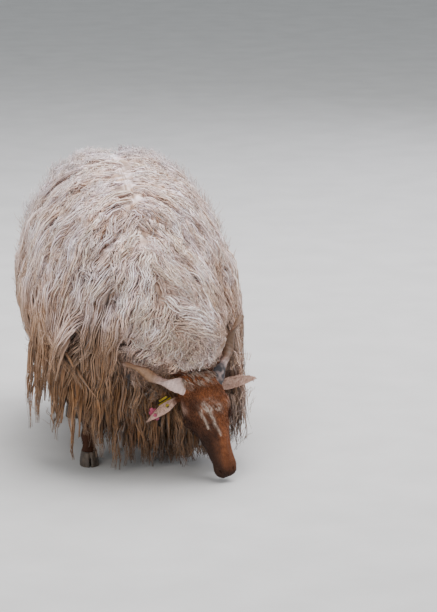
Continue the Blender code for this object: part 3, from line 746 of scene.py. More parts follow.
@dataclass
class Body:
    """The body under the fleece, from sections across the torso and the neck, and a plain tail."""

    girths: tuple = (
        # y, half width, middle, top, belly, hem
        (-0.235, 0.200, 0.350, 0.560, 0.240, 0.070),
        (-0.160, 0.246, 0.380, 0.634, 0.235, 0.095),
        (-0.050, 0.270, 0.400, 0.672, 0.250, 0.105),
        (0.100, 0.276, 0.410, 0.690, 0.255, 0.130),
        (0.240, 0.266, 0.420, 0.699, 0.265, 0.160),
        (0.370, 0.228, 0.435, 0.688, 0.285, 0.195),
        (0.440, 0.160, 0.455, 0.632, 0.330, 0.240),
        (0.462, 0.095, 0.470, 0.575, 0.380, 0.290),
    )
    collars: tuple = (
        # place, middle x, y, z, half width, half depth, slope
        (0.0, 0.000, -0.090, 0.420, 0.235, 0.215, 8),
        (1.0, 0.012, -0.175, 0.395, 0.215, 0.205, 26),
        (2.0, 0.040, -0.240, 0.345, 0.180, 0.175, 42),
        (3.0, 0.078, -0.272, 0.300, 0.145, 0.125, 54),
        (4.0, 0.108, -0.280, 0.268, 0.100, 0.080, 60),
        (5.0, 0.124, -0.285, 0.232, 0.060, 0.048, 62),
    )
    coat_on_back: float = 0.045
    coat_on_flank: float = 0.100
    core_share: float = 0.45
    neck_wool: float = 0.0
    sides: int = 72
    torso_rings: int = 48
    neck_rings: int = 36
    tail_top: tuple = (0.0, 0.425, 0.560)
    tail_tip: tuple = (0.0, 0.492, 0.225)

    def torso_ring(self, y: float, count: int) -> Array:
        """A ring of a count of points round the torso's skin, at a place along Y."""
        _, half_width, middle, top, belly, _ = read_table(self.girths, y)
        wide = max(half_width - self.coat_on_flank * (1 - self.core_share), 0.02)
        turn = rounds(count)
        across, up = np.sin(turn), np.cos(turn)
        rise = np.where(up > 0, top - self.coat_on_back * (1 - self.core_share) - middle, middle - belly)
        x = wide * np.sign(across) * np.abs(across) ** 0.90
        return np.stack([x, np.full(count, y), middle + rise * up], 1)

    def neck_ring(self, place: float, count: int) -> Array:
        """A ring of a count of points round the neck's skin, at a place in sections from the withers."""
        _, x, y, z, half_width, half_depth, slope = read_table(self.collars, place)
        inset = self.coat_on_flank * (1 - self.core_share) * (1 - 0.75 * float(ease(place / 5)))
        inset -= self.neck_wool * float(ease((place - 2.2) / 0.8)) * (1 - float(ease((place - 4.0) / 0.9)))
        turn = rounds(count)
        lean = math.radians(slope)
        crest = np.array([0.0, -math.sin(lean), math.cos(lean)])
        ring = np.array([x, y, z]) + np.outer(np.sin(turn) * (half_width - inset), [1.0, 0.0, 0.0])
        return ring + np.outer(np.cos(turn) * (half_depth - inset * 0.7), crest)

    def torso(self, fine: int = 1) -> Piece:
        """The torso's closed skin, a number of times finer than plain."""
        places = np.linspace(self.girths[0][0] - 0.010, self.girths[-1][0] - 0.012, self.torso_rings * fine)
        return loft("skin_torso", np.array([self.torso_ring(y, self.sides * fine) for y in places]))

    def neck(self, fine: int = 1) -> Piece:
        """The neck's closed skin, a number of times finer than plain."""
        places = np.linspace(0.0, self.collars[-1][0], self.neck_rings * fine)
        return loft("skin_neck", np.array([self.neck_ring(s, self.sides * fine) for s in places]))

    def tail(self) -> Piece:
        """The tail's closed skin."""
        top, tip = np.array(self.tail_top), np.array(self.tail_tip)
        turn = rounds(24)
        rings = []
        for share in np.linspace(-0.10, 1.0, 16):
            thick = 0.030 * (1 - 0.55 * max(share, 0.0))
            middle = top + (tip - top) * share
            rings.append(middle + np.stack([1.25 * thick * np.sin(turn), thick * np.cos(turn), 0 * turn], 1))
        return loft("skin_tail", np.array(rings))


@dataclass
class Skull:
    """The head's own axes and its sections along the face, from the poll to the lips."""

    length: float = 0.262
    lips: Vector = field(default_factory=lambda: Vector((0.192, -0.400, 0.014)))
    lean: tuple = (0.254, -0.358, -0.900)
    facing: tuple = (0.204, -0.926, 0.100)
    slices: tuple = (
        # along, half width, front, back
        (-0.012, 0.016, 0.000, 0.030),
        (0.000, 0.033, 0.017, 0.044),
        (0.022, 0.045, 0.029, 0.056),
        (0.050, 0.052, 0.036, 0.068),
        (0.080, 0.056, 0.037, 0.077),
        (0.108, 0.054, 0.035, 0.080),
        (0.136, 0.045, 0.032, 0.075),
        (0.168, 0.035, 0.029, 0.058),
        (0.200, 0.029, 0.025, 0.044),
        (0.226, 0.0275, 0.021, 0.035),
        (0.243, 0.0265, 0.016, 0.029),
        (0.256, 0.021, 0.009, 0.022),
        (0.262, 0.011, 0.001, 0.012),
    )
    bumps: tuple = (
        # along, degrees from the front, height, reach along, reach in degrees
        (0.088, 58, 0.0060, 0.018, 24),
        (0.122, 72, -0.0050, 0.020, 20),
        (0.118, 118, 0.0050, 0.030, 30),
        (0.160, 20, 0.0020, 0.040, 25),
        (0.238, 62, 0.0030, 0.016, 30),
        (0.222, 105, -0.0020, 0.014, 25),
        (0.062, 0, -0.0020, 0.030, 22),
        (0.150, 95, -0.0030, 0.022, 26),
        (0.185, 42, -0.0022, 0.030, 14),
        (0.252, 0, -0.0015, 0.008, 14),
    )
    eye_along: float = 0.110
    eye_aside: float = 0.0475
    eye_front: float = -0.006
    eye_radius: float = 0.0125
    lid: float = 0.0030
    nostril: tuple = (0.2475, 0.0165, 0.0115)
    nostril_wing: tuple = (0.2420, 0.0195, 0.0060)

    def __post_init__(self) -> None:
        """Settles the axes: down the face, out of the forehead, and to the animal's left."""
        self.down = Vector(self.lean).normalized()
        front = Vector(self.facing)
        self.front = (front - self.down * front.dot(self.down)).normalized()
        self.left = self.front.cross(self.down)

    def point(self, along: float, aside: float, front: float) -> Vector:
        """A point from its place along the face from the poll, to the left and to the front."""
        return self.lips + self.down * (along - self.length) + self.left * aside + self.front * front

    def own(self, points: Array) -> Array:
        """Places of the drawn frame, one row each, given along the face, to the left and to the front."""
        axes = np.array([self.down, self.left, self.front])
        out = (points - np.array(self.lips)) @ axes.T
        out[:, 0] += self.length
        return out

    def turn(self) -> Matrix:
        """The rotation from left, front and down to the drawn frame."""
        return Matrix((self.left, self.front, self.down)).transposed()

    def ring(self, along: float, count: int = 96) -> Array:
        """A ring of a count of points round the head, at a place along the face."""
        _, half_width, front, back = read_table(self.slices, along)
        turn = rounds(count)
        across, ahead = np.sin(turn), np.cos(turn)
        power = np.where(ahead > 0, 0.85, 1.10)
        aside = half_width * np.sign(across) * np.abs(across) ** power
        aside = aside * (1 - 0.30 * np.clip(-ahead, 0, None) ** 1.2)
        depth = np.where(ahead > 0, front, back) * ahead
        degrees = np.abs(np.degrees(np.arctan2(across, ahead)))
        swell = np.zeros(count)
        for at, side, height, reach, spread in self.bumps:
            swell += height * np.exp(-(((along - at) / reach) ** 2) - ((degrees - side) / spread) ** 2)
        size = np.maximum(np.hypot(aside, depth), 1e-6)
        aside, depth = aside * (1 + swell / size), depth * (1 + swell / size)
        base = np.array(self.point(along, 0.0, 0.0))
        return base + np.outer(aside, self.left) + np.outer(depth, self.front)

    def eye_centre(self, side: Side) -> Vector:
        """The middle of one side's eyeball."""
        return self.sided(side, (self.eye_along, self.eye_aside, self.eye_front))

    def sided(self, side: Side, spot: tuple) -> Vector:
        """A point of one side from its place along the face, away from the middle and to the front."""
        return self.point(spot[0], side.value * spot[1], spot[2])

    def form(self) -> Piece:
        """The head's closed form with lids, sockets and nostrils."""
        places = np.concatenate([np.linspace(-0.012, 0.240, 80), np.linspace(0.242, 0.262, 12)])
        made = loft("skin_head", np.array([self.ring(a) for a in places]))
        turn = self.turn()
        lids, cuts = [], []
        for side in Side:
            centre = self.eye_centre(side)
            lid = self.eye_radius + self.lid
            lids.append(ellipsoid("lid", centre, (lid, lid * 0.96, lid * 1.05), turn))
            cuts.append(ellipsoid("socket", centre, (self.eye_radius + 0.0002,) * 3, turn))
            slant = turn @ Matrix.Rotation(math.radians(18), 3, "X")
            gaze = centre + self.left * side.value * (lid + 0.001)
            cuts.append(ellipsoid("fissure", gaze, (0.0095, 0.0062, 0.0112), slant))
            flare = turn @ Matrix.Rotation(math.radians(-35 * side.value), 3, "Z")
            cuts.append(ellipsoid("nostril", self.sided(side, self.nostril), (0.0026, 0.0068, 0.0050), flare))
            wing = self.sided(side, self.nostril_wing)
            cuts.append(ellipsoid("nostril_wing", wing, (0.0022, 0.0060, 0.0026), flare))
        combine(made, lids, "UNION")
        return combine(made, cuts, "DIFFERENCE")


@dataclass
class EarShape:
    """One cupped ear: its side, its length and the way that it points along the head's axes."""

    skull: Skull
    side: Side
    length: float
    width: float
    down: float
    aside: float
    behind: float
    root_along: float = 0.046
    root_aside: float = 0.040
    root_front: float = -0.028
    wall: float = 0.0030
    droop: float = 0.008

    def frame(self) -> tuple[Vector, Vector, Vector, Vector]:
        """The ear's root and its axes: to the tip, out of the cup, and across it."""
        s = self.skull
        root = s.point(self.root_along, self.side.value * self.root_aside, self.root_front)
        way = s.left * self.side.value * self.aside + s.down * self.down - s.front * self.behind
        way = way.normalized()
        opening = s.front * 0.85 + s.down * 0.50
        opening = (opening - way * opening.dot(way)).normalized()
        return root, way, opening, way.cross(opening)

    def section(self, share: float) -> tuple[float, float, float]:
        """The half width, cup depth and wall at a share of the length.

        Args:
            share: From the root to the tip.

        Returns:
            The three sizes.
        """
        widest = 0.42
        grown = 0.46 + 0.54 * float(ease(share / widest))
        tip = 1 - max((share - widest) / 0.60, 0.0) ** 1.9
        cup = 0.0105 * (1 - 0.72 * float(ease(share))) * min(tip + 0.25, 1.0)
        return self.width / 2 * grown * tip, cup, self.wall * (1 - 0.45 * float(ease(share)))

    def form(self) -> Piece:
        """The ear's closed form."""
        root, way, opening, across = self.frame()
        rings = []
        for share in np.linspace(-0.14, 0.985, 46):
            half_width, cup, wall = self.section(max(share, 0.0))
            middle = root + way * (self.length * share) + DOWN * (self.droop * max(share, 0.0) ** 2)
            curl = 0.0016 * math.sin(share * 9.0)
            ring = []
            for reach, count, skin in ((-1.0, 19, -wall / 2), (0.96, 17, wall / 2)):
                for u in np.linspace(reach, -reach, count):
                    rise = opening * (curl * u - cup * (1 - u * u) + skin)
                    ring.append(middle + across * (half_width * u) + rise)
            rings.append(ring)
        return loft("skin_ear", np.array(rings))


@dataclass
class LegShape:
    """One leg: where it stands, and its sections from the coronet up."""

    x: float
    y: float
    hind: bool
    name: str
    front_shanks: tuple = (
        # height, behind the hoof's middle, half width, half depth
        (0.0343, 0.006, 0.0190, 0.0225),
        (0.048, 0.010, 0.0150, 0.0165),
        (0.068, 0.017, 0.0190, 0.0215),
        (0.090, 0.018, 0.0145, 0.0170),
        (0.145, 0.018, 0.0135, 0.0160),
        (0.180, 0.016, 0.0195, 0.0205),
        (0.204, 0.015, 0.0215, 0.0230),
        (0.232, 0.016, 0.0190, 0.0215),
        (0.290, 0.014, 0.0270, 0.0330),
        (0.365, 0.006, 0.0360, 0.0480),
    )
    hind_shanks: tuple = (
        (0.0343, 0.006, 0.0190, 0.0225),
        (0.050, 0.012, 0.0150, 0.0160),
        (0.072, 0.021, 0.0185, 0.0210),
        (0.098, 0.025, 0.0140, 0.0185),
        (0.165, 0.032, 0.0140, 0.0190),
        (0.214, 0.040, 0.0190, 0.0290),
        (0.246, 0.033, 0.0190, 0.0300),
        (0.290, 0.012, 0.0270, 0.0420),
        (0.365, -0.022, 0.0400, 0.0640),
    )

    def form(self) -> Piece:
        """The leg's closed form with tendons and dewclaws."""
        shanks = self.hind_shanks if self.hind else self.front_shanks
        turn = rounds(48)
        rings = []
        for height in np.linspace(shanks[0][0], shanks[-1][0], 72):
            _, behind, half_width, half_depth = read_table(shanks, height)
            groove = 1 - 0.10 * bell(np.abs(np.sin(turn)) - 0.92, 0.10) * (np.cos(turn) < 0.2)
            x = self.x + half_width * groove * np.sin(turn)
            y = self.y + behind - half_depth * np.cos(turn)
            rings.append(np.stack([x, y, np.full(len(turn), height)], 1))
        made = loft("skin_leg", np.array(rings))
        fetlock = shanks[2]
        claws = []
        for side in Side:
            spot = Vector((self.x + side.value * 0.009, self.y + fetlock[1] + fetlock[3], 0.064))
            claws.append(ellipsoid("dewclaw", spot, (0.0055, 0.0060, 0.0090), Matrix.Identity(3), 20))
        return combine(made, claws, "UNION")


LEGS = (
    LegShape(0.108, -0.125, False, "front_left"),
    LegShape(-0.122, -0.200, False, "front_right"),
    LegShape(0.118, 0.315, True, "hind_left"),
    LegShape(-0.118, 0.265, True, "hind_right"),
)


@dataclass
class MarkingsAndShade:
    """The colours of the short coat, from the forehead to the coronets, with painted shade on the right side
    of the face and under the fleece.
    """

    skull: Skull
    rust: tuple = (0.205, 0.073, 0.030)
    dark: tuple = (0.026, 0.010, 0.005)
    pale: tuple = (0.560, 0.470, 0.410)
    muzzle: tuple = (0.036, 0.017, 0.011)
    ear_skin: tuple = (0.640, 0.440, 0.370)
    fleece_gap_shade: tuple = (0.300, 0.200, 0.135)
    brown: tuple = (0.060, 0.026, 0.015)
    shank: tuple = (0.052, 0.019, 0.009)
    blots: tuple = (
        # along, aside, reach, how white
        (0.086, -0.014, 0.0105, 0.85),
        (0.097, 0.017, 0.0115, 0.78),
        (0.098, -0.002, 0.0100, 0.66),
        (0.078, 0.004, 0.0080, 0.50),
        (0.093, 0.048, 0.0070, 0.55),
    )
    strands: tuple = (
        # from along, from aside, to along, to aside, half width
        (0.098, -0.027, 0.140, -0.018, 0.0044),
        (0.092, -0.010, 0.164, 0.006, 0.0054),
    )

    def blaze(self, own: Array) -> Array:
        """How white the forehead and blaze are.

        Args:
            own: Places along the face, to the left and to the front.

        Returns:
            A share for each place.
        """
        along, aside, front = own.T
        facing = ease((front - 0.004) / 0.012)
        broken = np.clip(0.60 + 0.62 * lumps(own, 0.0055, 5), 0.0, 1.0)
        star = np.zeros(len(own))
        for at, side, reach, power in self.blots:
            gap = ((along - at) / reach) ** 2 + ((aside - side) / reach) ** 2
            star = np.maximum(star, power * np.exp(-gap))
        strand = np.zeros(len(own))
        for a0, s0, a1, s1, wide in self.strands:
            share = np.clip((along - a0) / (a1 - a0), 0, 1)
            line = s0 + (s1 - s0) * share + 0.0007 * np.sin(along * 260)
            line = line + 0.0012 * lumps(own, 0.010, 7)
            thin = wide * (1 - 0.5 * share)
            inside = (along > a0 - 0.004) & (along < a1 + 0.004)
            strand = np.maximum(strand, bell(aside - line, thin) * inside)
        return np.clip(star * broken * 1.15 + strand * (0.35 + 0.55 * broken), 0, 1) * facing

    def colours(self, points: Array) -> Array:
        """The coat's colour at each place of the head, the ears, the legs and the body, with painted shade on
        the right side of the face and where the skin shows under the fleece.

        Args:
            points: Places in the drawn frame.

        Returns:
            One row of red, green and blue for each place.
        """
        s = self.skull
        own = s.own(points)
        along, aside, front = own.T
        dark, pale = np.array(self.dark), np.array(self.pale)
        out = np.tile(np.array(self.rust), (len(points), 1))
        tone = 0.5 + 0.5 * lumps(points, 0.022, 3)
        out = out * (0.82 + 0.36 * tone)[:, None]
        under = ease((0.013 - front) / 0.026) * (0.50 + 0.50 * ease((0.010 - aside) / 0.030))
        cheek = under * ease((along - 0.056) / 0.040)
        toward(out, dark, cheek * 0.95)
        socket = np.zeros(len(points))
        for side in Side:
            gap = np.linalg.norm(points - np.array(s.eye_centre(side)), axis=1)
            socket = np.maximum(socket, bell(gap - 0.014, 0.006))
        toward(out, dark * 0.6, socket * 0.75)
        ridge = 0.008 - 0.16 * np.maximum(along - 0.150, 0.0) + 0.004 * tone
        shaded = ease((ridge - aside) / 0.013) * ease((along - 0.092) / 0.045)
        shaded = np.maximum(shaded, 0.75 * ease((-0.016 - aside) / 0.016) * ease((along - 0.040) / 0.030))
        toward(out, np.array(self.brown) * (0.8 + 0.4 * tone)[:, None], 0.85 * shaded)
        nose = ease((along - 0.200) / 0.050)
        flank = ease((0.021 - front - 0.3 * aside) / 0.012) * ease((along - 0.120) / 0.050)
        toward(out, np.array(self.muzzle), np.maximum(nose * 0.60, flank * 0.88))
        lips = ease((along - 0.240) / 0.018)
        toward(out, dark * 0.9, lips * 0.5)
        toward(out, pale, self.blaze(own))
        poll = ease((0.040 - along) / 0.030) * ease((front + 0.01) / 0.02)
        frost = poll * np.clip(0.45 + 0.6 * lumps(points, 0.007, 8), 0, 1)
        toward(out, pale * 0.9, frost)
        ears = ease((np.abs(aside) - 0.050) / 0.014) * ease((0.10 - along) / 0.02)
        toward(out, np.array(self.ear_skin), ears)
        leg = points[:, 2] < 0.33
        below = leg & (along > 0.30) | (leg & (points[:, 1] > -0.22) & (np.abs(aside) > 0.09))
        tint = np.array(self.shank) * (0.85 + 0.3 * tone)[:, None]
        out[below] = tint[below]
        # Skin under the fleece is painted a dark wool brown, as shade in the gaps between the locks.
        covered = (points[:, 1] > -0.29) & (points[:, 2] > 0.30)
        out[covered] = self.fleece_gap_shade
        return np.clip(out, 0.0, 1.0)


@dataclass
class Skin:
    """The one continuous skin under the coat, from the lips to the tail and down to the coronets."""

    body: Body
    skull: Skull
    ears: tuple
    voxel: float = 0.00135
    mouth: tuple = ((0.208, -0.0160), (0.222, -0.0120), (0.238, -0.0080), (0.252, -0.0055), (0.266, -0.0045))

    def face(self) -> Piece:
        """The head and ears, grown together and softened."""
        made = self.skull.form()
        combine(made, [ear.form() for ear in self.ears], "UNION")
        remesh = made.modifiers.new("grow", "REMESH")
        remesh.mode = "VOXEL"
        remesh.voxel_size = self.voxel
        remesh.use_smooth_shade = True
        soft = made.modifiers.new("soften", "SMOOTH")
        soft.factor = 0.5
        soft.iterations = 3
        bake(made)
        self.carve(made)
        return made

    def carve(self, made: Piece) -> None:
        """Presses in the line of the mouth, the chin's groove, and the folds round the eyes and lips."""
        points, normals = points_of(made), normals_of(made)
        own = self.skull.own(points)
        along, aside, front = own.T
        line = np.interp(along, *zip(*self.mouth))
        inside = ease((along - self.mouth[0][0] + 0.003) / 0.004)
        gap = np.abs(front - line)
        press = -0.0030 * bell(gap, 0.0013) * inside
        lip = 0.0010 * bell(gap - 0.0034, 0.0018) * inside
        folds = np.zeros(len(points))
        for side in Side:
            rise = points - np.array(self.skull.eye_centre(side))
            reach = np.linalg.norm(rise, axis=1)
            above = (rise @ np.array(self.skull.front)) - 0.35 * (rise @ np.array(self.skull.down))
            mask = bell(reach - 0.0205, 0.006) * ease((above + 0.004) / 0.008)
            folds += 0.0006 * np.sin(reach * 2 * np.pi / 0.0042) * mask
        veins = 0.0007 * lumps(own * np.array([0.5, 1.0, 1.0]), 0.011, 21) * ease((along - 0.10) / 0.05)
        groove = -0.0016 * bell(aside, 0.0012) * ease((along - 0.250) / 0.006)
        groove = groove * ease((front + 0.008) / 0.004)
        chin = 0.0005 * lumps(own, 0.004, 9) * ease((along - 0.200) / 0.03) * ease((-front - 0.004) / 0.01)
        set_points(made, points + normals * (press + lip + folds + veins + groove + chin)[:, None])

    def make(self, finish: Material, markings_and_shade: MarkingsAndShade) -> Piece:
        """The whole skin as one surface.

        Args:
            finish: The short coat's material.
            markings_and_shade: The colours to paint on it.

        Returns:
            The piece, which stands for every flesh node.
        """
        made = self.face()
        parts = [self.body.torso(), self.body.neck(), self.body.tail(), *(leg.form() for leg in LEGS)]
        combine(made, parts, "UNION")
        made.name = "skin"
        made.data.shade_smooth()
        wear(made, finish)
        paint(made, "Marks", markings_and_shade.colours(points_of(made)))
        nodes = ["head", "neck", "torso", "tail", "ear_left", "ear_right"]
        nodes += ["leg_" + leg.name for leg in LEGS]
        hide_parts(*nodes)
        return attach(made, "root")


# ---- horns, eyes, hooves and tags ----


@dataclass
class HornShape:
    """One corkscrew horn: a flat, keeled bar that turns about its own straight axis."""

    skull: Skull
    side: Side
    above: float
    aside: float
    behind: float
    base_along: float = 0.036
    base_aside: float = 0.034
    base_front: float = 0.010
    width: float = 0.037
    flatness: float = 0.56
    turns: float = 1.10
    waves: int = 15
    sides: int = 36
    steps: int = 130
    bone: tuple = (0.780, 0.580, 0.540)
    tan: tuple = (0.360, 0.215, 0.130)
    edge: tuple = (0.125, 0.062, 0.036)
    groove_shade: tuple = (0.048, 0.046, 0.052)

    def axis(self) -> tuple[Vector, Vector]:
        """The middle of the horn's base, and the way from there to its tip."""
        s = self.skull
        base = s.point(self.base_along, self.side.value * self.base_aside, self.base_front)
        return base, s.left * self.side.value * self.aside - s.down * self.above - s.front * self.behind

    def rings(self) -> tuple[Array, Array, Array]:
        """The horn's rings, with each point's share of the length and its turn round the bar."""
        base, way = self.axis()
        axis = way.normalized()
        flat = (self.skull.front - axis * self.skull.front.dot(axis)).normalized()
        wide = axis.cross(flat)
        turn = rounds(self.sides)
        off = np.where(turn > np.pi, turn - 2 * np.pi, turn)
        keel = 1 + 0.18 * bell(off, 0.38)
        groove = 1 - 0.16 * bell(np.abs(off) - 0.95, 0.20)
        shares = np.linspace(-0.125, 1.0, self.steps)
        rings = []
        for share in shares:
            spin = self.side.value * 2 * math.pi * self.turns * max(share - 0.10, 0.0)
            size = self.width / 2 * (1 - 0.58 * max(share, 0.0) ** 1.25)
            size *= 1 - 0.45 * float(ease((share - 0.9) / 0.1)) - 0.50 * float(ease((share - 0.985) / 0.015))
            worn = 1 - 0.7 * float(ease((share - 0.55) / 0.35))
            ripple = 0.018 * worn * math.sin(share * 2 * math.pi * self.waves + math.sin(share * 23) * 0.9)
            ripple += 0.012 * worn * math.sin(share * 2 * math.pi * 41)
            middle = base + way * share
            middle += (wide * math.sin(spin) + flat * math.cos(spin)) * 0.0045 * float(ease(share * 4))
            arm = np.array(wide * math.cos(spin) - flat * math.sin(spin))
            face = np.array(wide * math.sin(spin) + flat * math.cos(spin))
            across = size * keel * np.cos(turn) * (1 + ripple)
            thick = size * self.flatness * np.sign(np.sin(turn)) * np.abs(np.sin(turn)) ** 1.1
            thick = thick * groove * (1 + 1.6 * ripple)
            rings.append(np.array(middle) + np.outer(across, arm) + np.outer(thick, face))
        share_grid = np.repeat(shares[:, None], self.sides, 1)
        return np.array(rings), share_grid, np.repeat(turn[None], self.steps, 0)

    def colours(self, share: Array, turn: Array, points: Array) -> Array:
        """The horn's colour, pale at the base, brown along its edges, and tan to the tip, with painted shade
        on the left horn's base.

        Args:
            share: Each point's share of the length.
            turn: Each point's turn round the bar.
            points: The points.

        Returns:
            One row for each point.
        """
        bone, tan, edge, groove_shade = (np.array(c) for c in (self.bone, self.tan, self.edge, self.groove_shade))
        off = np.where(turn > np.pi, turn - 2 * np.pi, turn)
        far, dim = (0.34, 1.0) if self.side is Side.RIGHT else (0.20, 0.50)
        out = bone + (tan * dim - bone) * ease((share - far) / 0.22)[:, None]
        rim = bell(off, 0.50) * (0.75 + 0.35 * lumps(points, 0.012, 4))
        rim += 0.60 * bell(np.abs(off) - np.pi, 0.50)
        rim = rim * (0.18 + 0.82 * ease((share - 0.26) / 0.20))
        toward(out, edge, np.clip(rim, 0, 1))
        tip = ease((share - 0.90) / 0.10) * (self.side is Side.RIGHT)
        toward(out, bone * 0.9, tip * 0.35)
        rings = 0.5 + 0.5 * np.sin(share * 2 * np.pi * self.waves + np.sin(share * 23) * 0.9)
        out *= (1 - 0.16 * (1 - rings) * (1 - ease((share - 0.55) / 0.35)))[:, None]
        # A dark patch on the outer side of the left horn's base, painted as shade in its groove.
        if self.side is Side.LEFT:
            own = self.skull.own(points)
            patch = ease((own[:, 1] - 0.036) / 0.006) * ease((0.30 - share) / 0.08)
            patch = patch * np.clip(0.9 + 0.25 * lumps(points, 0.010, 6), 0, 1)
            toward(out, groove_shade, patch)
        toward(out, edge, 0.6 * ease((0.02 - share) / 0.04))
        return np.clip(out, 0.0, 1.0)

    def make(self, finish: Material) -> Piece:
        """The horn's piece in its material, which stands for the CAD horn."""
        rings, share, turn = self.rings()
        node = "horn_" + self.side.name.lower()
        made = loft(node + "_ringed", rings)
        shares = np.concatenate([share.ravel(), [share[0, 0], share[-1, 0]]])
        turns = np.concatenate([turn.ravel(), [np.pi / 2, np.pi / 2]])
        paint(made, "Horn", self.colours(shares, turns, loft_arrays(rings)[0]))
        made.data.materials.append(finish)
        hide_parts(node)
        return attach(made, "root")


@dataclass
class Eyeball:
    """One eye with a level pupil."""

    skull: Skull
    side: Side
    amber: tuple = (0.300, 0.135, 0.030)
    rim: tuple = (0.060, 0.026, 0.012)
    pupil: tuple = (0.004, 0.003, 0.003)

    def make(self, finish: Material) -> Piece:
        """The eye's piece in its material, which stands for the CAD eye."""
        s = self.skull
        centre = s.eye_centre(self.side)
        node = "eye_" + self.side.name.lower()
        radius = s.eye_radius - 0.0001
        made = ellipsoid(node + "_globe", centre, (radius, radius, radius), s.turn(), 64)
        gaze = (s.left * self.side.value * 0.93 + s.front * 0.30 + s.down * 0.02).normalized()
        level = (s.down - gaze * s.down.dot(gaze)).normalized()
        rise = (points_of(made) - np.array(centre)) / radius
        ahead, along, tall = (rise @ np.array(way) for way in (gaze, level, gaze.cross(level)))
        wide = np.hypot(along, tall)
        colour = np.tile(np.array(self.amber), (len(rise), 1))
        toward(colour, np.array(self.rim), ease((wide - 0.42) / 0.25))
        colour[ahead < 0] = self.rim
        slot_shape = (np.abs(along) / 0.34) ** 4 + (np.abs(tall) / 0.13) ** 4
        toward(colour, np.array(self.pupil), ease(1.5 - slot_shape) * (ahead > 0))
        paint(made, "Iris", colour)
        made.data.materials.append(finish)
        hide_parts(node)
        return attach(made, "root")


@dataclass
class Hoof:
    """One cloven hoof with a flat sole."""

    leg: LegShape
    height: float = 0.034
    length: float = 0.062
    width: float = 0.047
    cleft_width: float = 0.0035
    cleft_height: float = 0.022

    def make(self, finish: Material) -> Piece:
        """The hoof's piece in its material, which stands for the CAD hoof."""
        turn = rounds(56)
        off = np.where(turn > np.pi, turn - 2 * np.pi, turn)
        toe, notch = 1 - 0.20 * bell(off, 0.45), 1 - 0.16 * bell(off, 0.16)
        levels = (
            # height, size, behind the hoof's middle
            (0.0, 0.985, -0.004),
            (0.001, 1.00, -0.004),
            (0.012, 0.98, -0.002),
            (self.height, 0.80, 0.005),
        )
        rings = []
        for height in np.concatenate([[0.0, 0.0006], np.linspace(0.002, self.height, 14)]):
            _, size, behind = read_table(levels, height)
            size += 0.012 * math.sin(height * 2 * math.pi / 0.0075) * float(ease(height / 0.006))
            x = self.leg.x + self.width / 2 * size * toe * np.sin(turn)
            y = self.leg.y + behind - self.length / 2 * size * notch * np.cos(turn)
            rings.append(np.stack([x, y, np.full(len(turn), height)], 1))
        made = loft("hoof_" + self.leg.name + "_horn", np.array(rings))
        middle = Vector((self.leg.x, self.leg.y, self.cleft_height / 2 - 0.01))
        half = (self.cleft_width / 2, self.length, self.cleft_height / 2 + 0.01)
        bm = bmesh.new()
        bmesh.ops.create_cube(bm, size=2.0)
        cleft = moulded("cleft", bm, Matrix.Translation(middle + SHIFT) @ Matrix.Diagonal((*half, 1.0)))
        combine(made, [cleft], "DIFFERENCE")
        wear(made, finish)
        made.data.set_sharp_from_angle(angle=math.radians(50))
        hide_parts("hoof_" + self.leg.name)
        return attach(made, "root")


@dataclass
class EarTag:
    """One ear tag: a plate behind the ear, a button in the cup, and the pin through the ear."""

    ear: EarShape
    name: str
    place: float
    plate_along: float
    plate_across: float
    button: float
    plate: float = 0.0016
    pin: float = 0.0022
    stand: float = 0.0024

    def make(self, finish: TagFinish) -> Piece:
        """The tag's piece in its finish, which stands for the CAD tag."""
        ear = self.ear
        root, way, opening, across = ear.frame()
        _, cup, wall = ear.section(self.place)
        seat = root + way * (ear.length * self.place) + DOWN * (ear.droop * self.place**2) - opening * cup
        turn = Matrix((way, across, opening)).transposed().to_4x4()
        back = -wall / 2 - self.stand - self.plate / 2
        face = wall / 2 + 0.0022
        bm = bmesh.new()
        bmesh.ops.create_cube(bm, size=1.0)
        size = (self.plate_along, self.plate_across, self.plate)
        bmesh.ops.scale(bm, vec=size, verts=bm.verts)
        corners = [e for e in bm.edges if abs(e.verts[0].co.z - e.verts[1].co.z) > self.plate / 2]
        bmesh.ops.bevel(bm, geom=corners, offset=0.006, segments=6, affect="EDGES")
        bmesh.ops.bevel(bm, geom=bm.edges[:], offset=0.0003, segments=2, affect="EDGES")
        middle = seat + opening * back + SHIFT
        made = moulded("tag_" + self.name + "_moulded", bm, Matrix.Translation(middle) @ turn)
        collar = face - 0.0008
        studs = (
            (self.pin, back, face),
            (self.button, collar, face + 0.0010),
            (self.button * 0.45, face, face + 0.0024),
            (self.pin * 1.7, back - 0.0010, back),
        )
        combine(made, [self.stud(seat, opening, turn, *stud) for stud in studs], "UNION")
        wear(made, finish.material(middle, turn))
        made.data.shade_smooth()
        made.data.set_sharp_from_angle(angle=math.radians(35))
        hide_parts("tag_" + self.name)
        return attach(made, "root")

    def stud(
        self, seat: Vector, opening: Vector, turn: Matrix, radius: float, low: float, high: float
    ) -> Piece:
        """A short round bar at right angles to the ear.

        Args:
            seat: Where the tag crosses the ear.
            opening: The way out of the ear's cup.
            turn: The tag's rotation.
            radius: The bar's radius.
            low: Where it starts along the opening.
            high: Where it ends.

        Returns:
            The bar.
        """
        bm, sizes = bmesh.new(), {"radius1": radius, "radius2": radius, "depth": high - low}
        bmesh.ops.create_cone(bm, cap_ends=True, segments=28, **sizes)
        middle = seat + opening * ((low + high) / 2) + SHIFT
        return moulded("stud", bm, Matrix.Translation(middle) @ turn)


# ---- the fleece ----


@dataclass(frozen=True)
class LockKind:
    """How one kind of lock grows: its sizes and waves, how far it stands off the body and how loose it is."""

    length: float
    width: float = 0.042
    tuft: float = 0.016
    strand: float = 0.0070
    wave: float = 0.0023
    wave_length: float = 0.025
    lift: float = 0.043
    tuck: float = 0.10
    curl: float = 0.0
    pull: float = 17.0


@dataclass
class Lock:
    """The middle of one long lock, with what its tufts need to know."""

    path: Array
    out: Array
    kind: LockKind
    layer: float
    spot: tuple


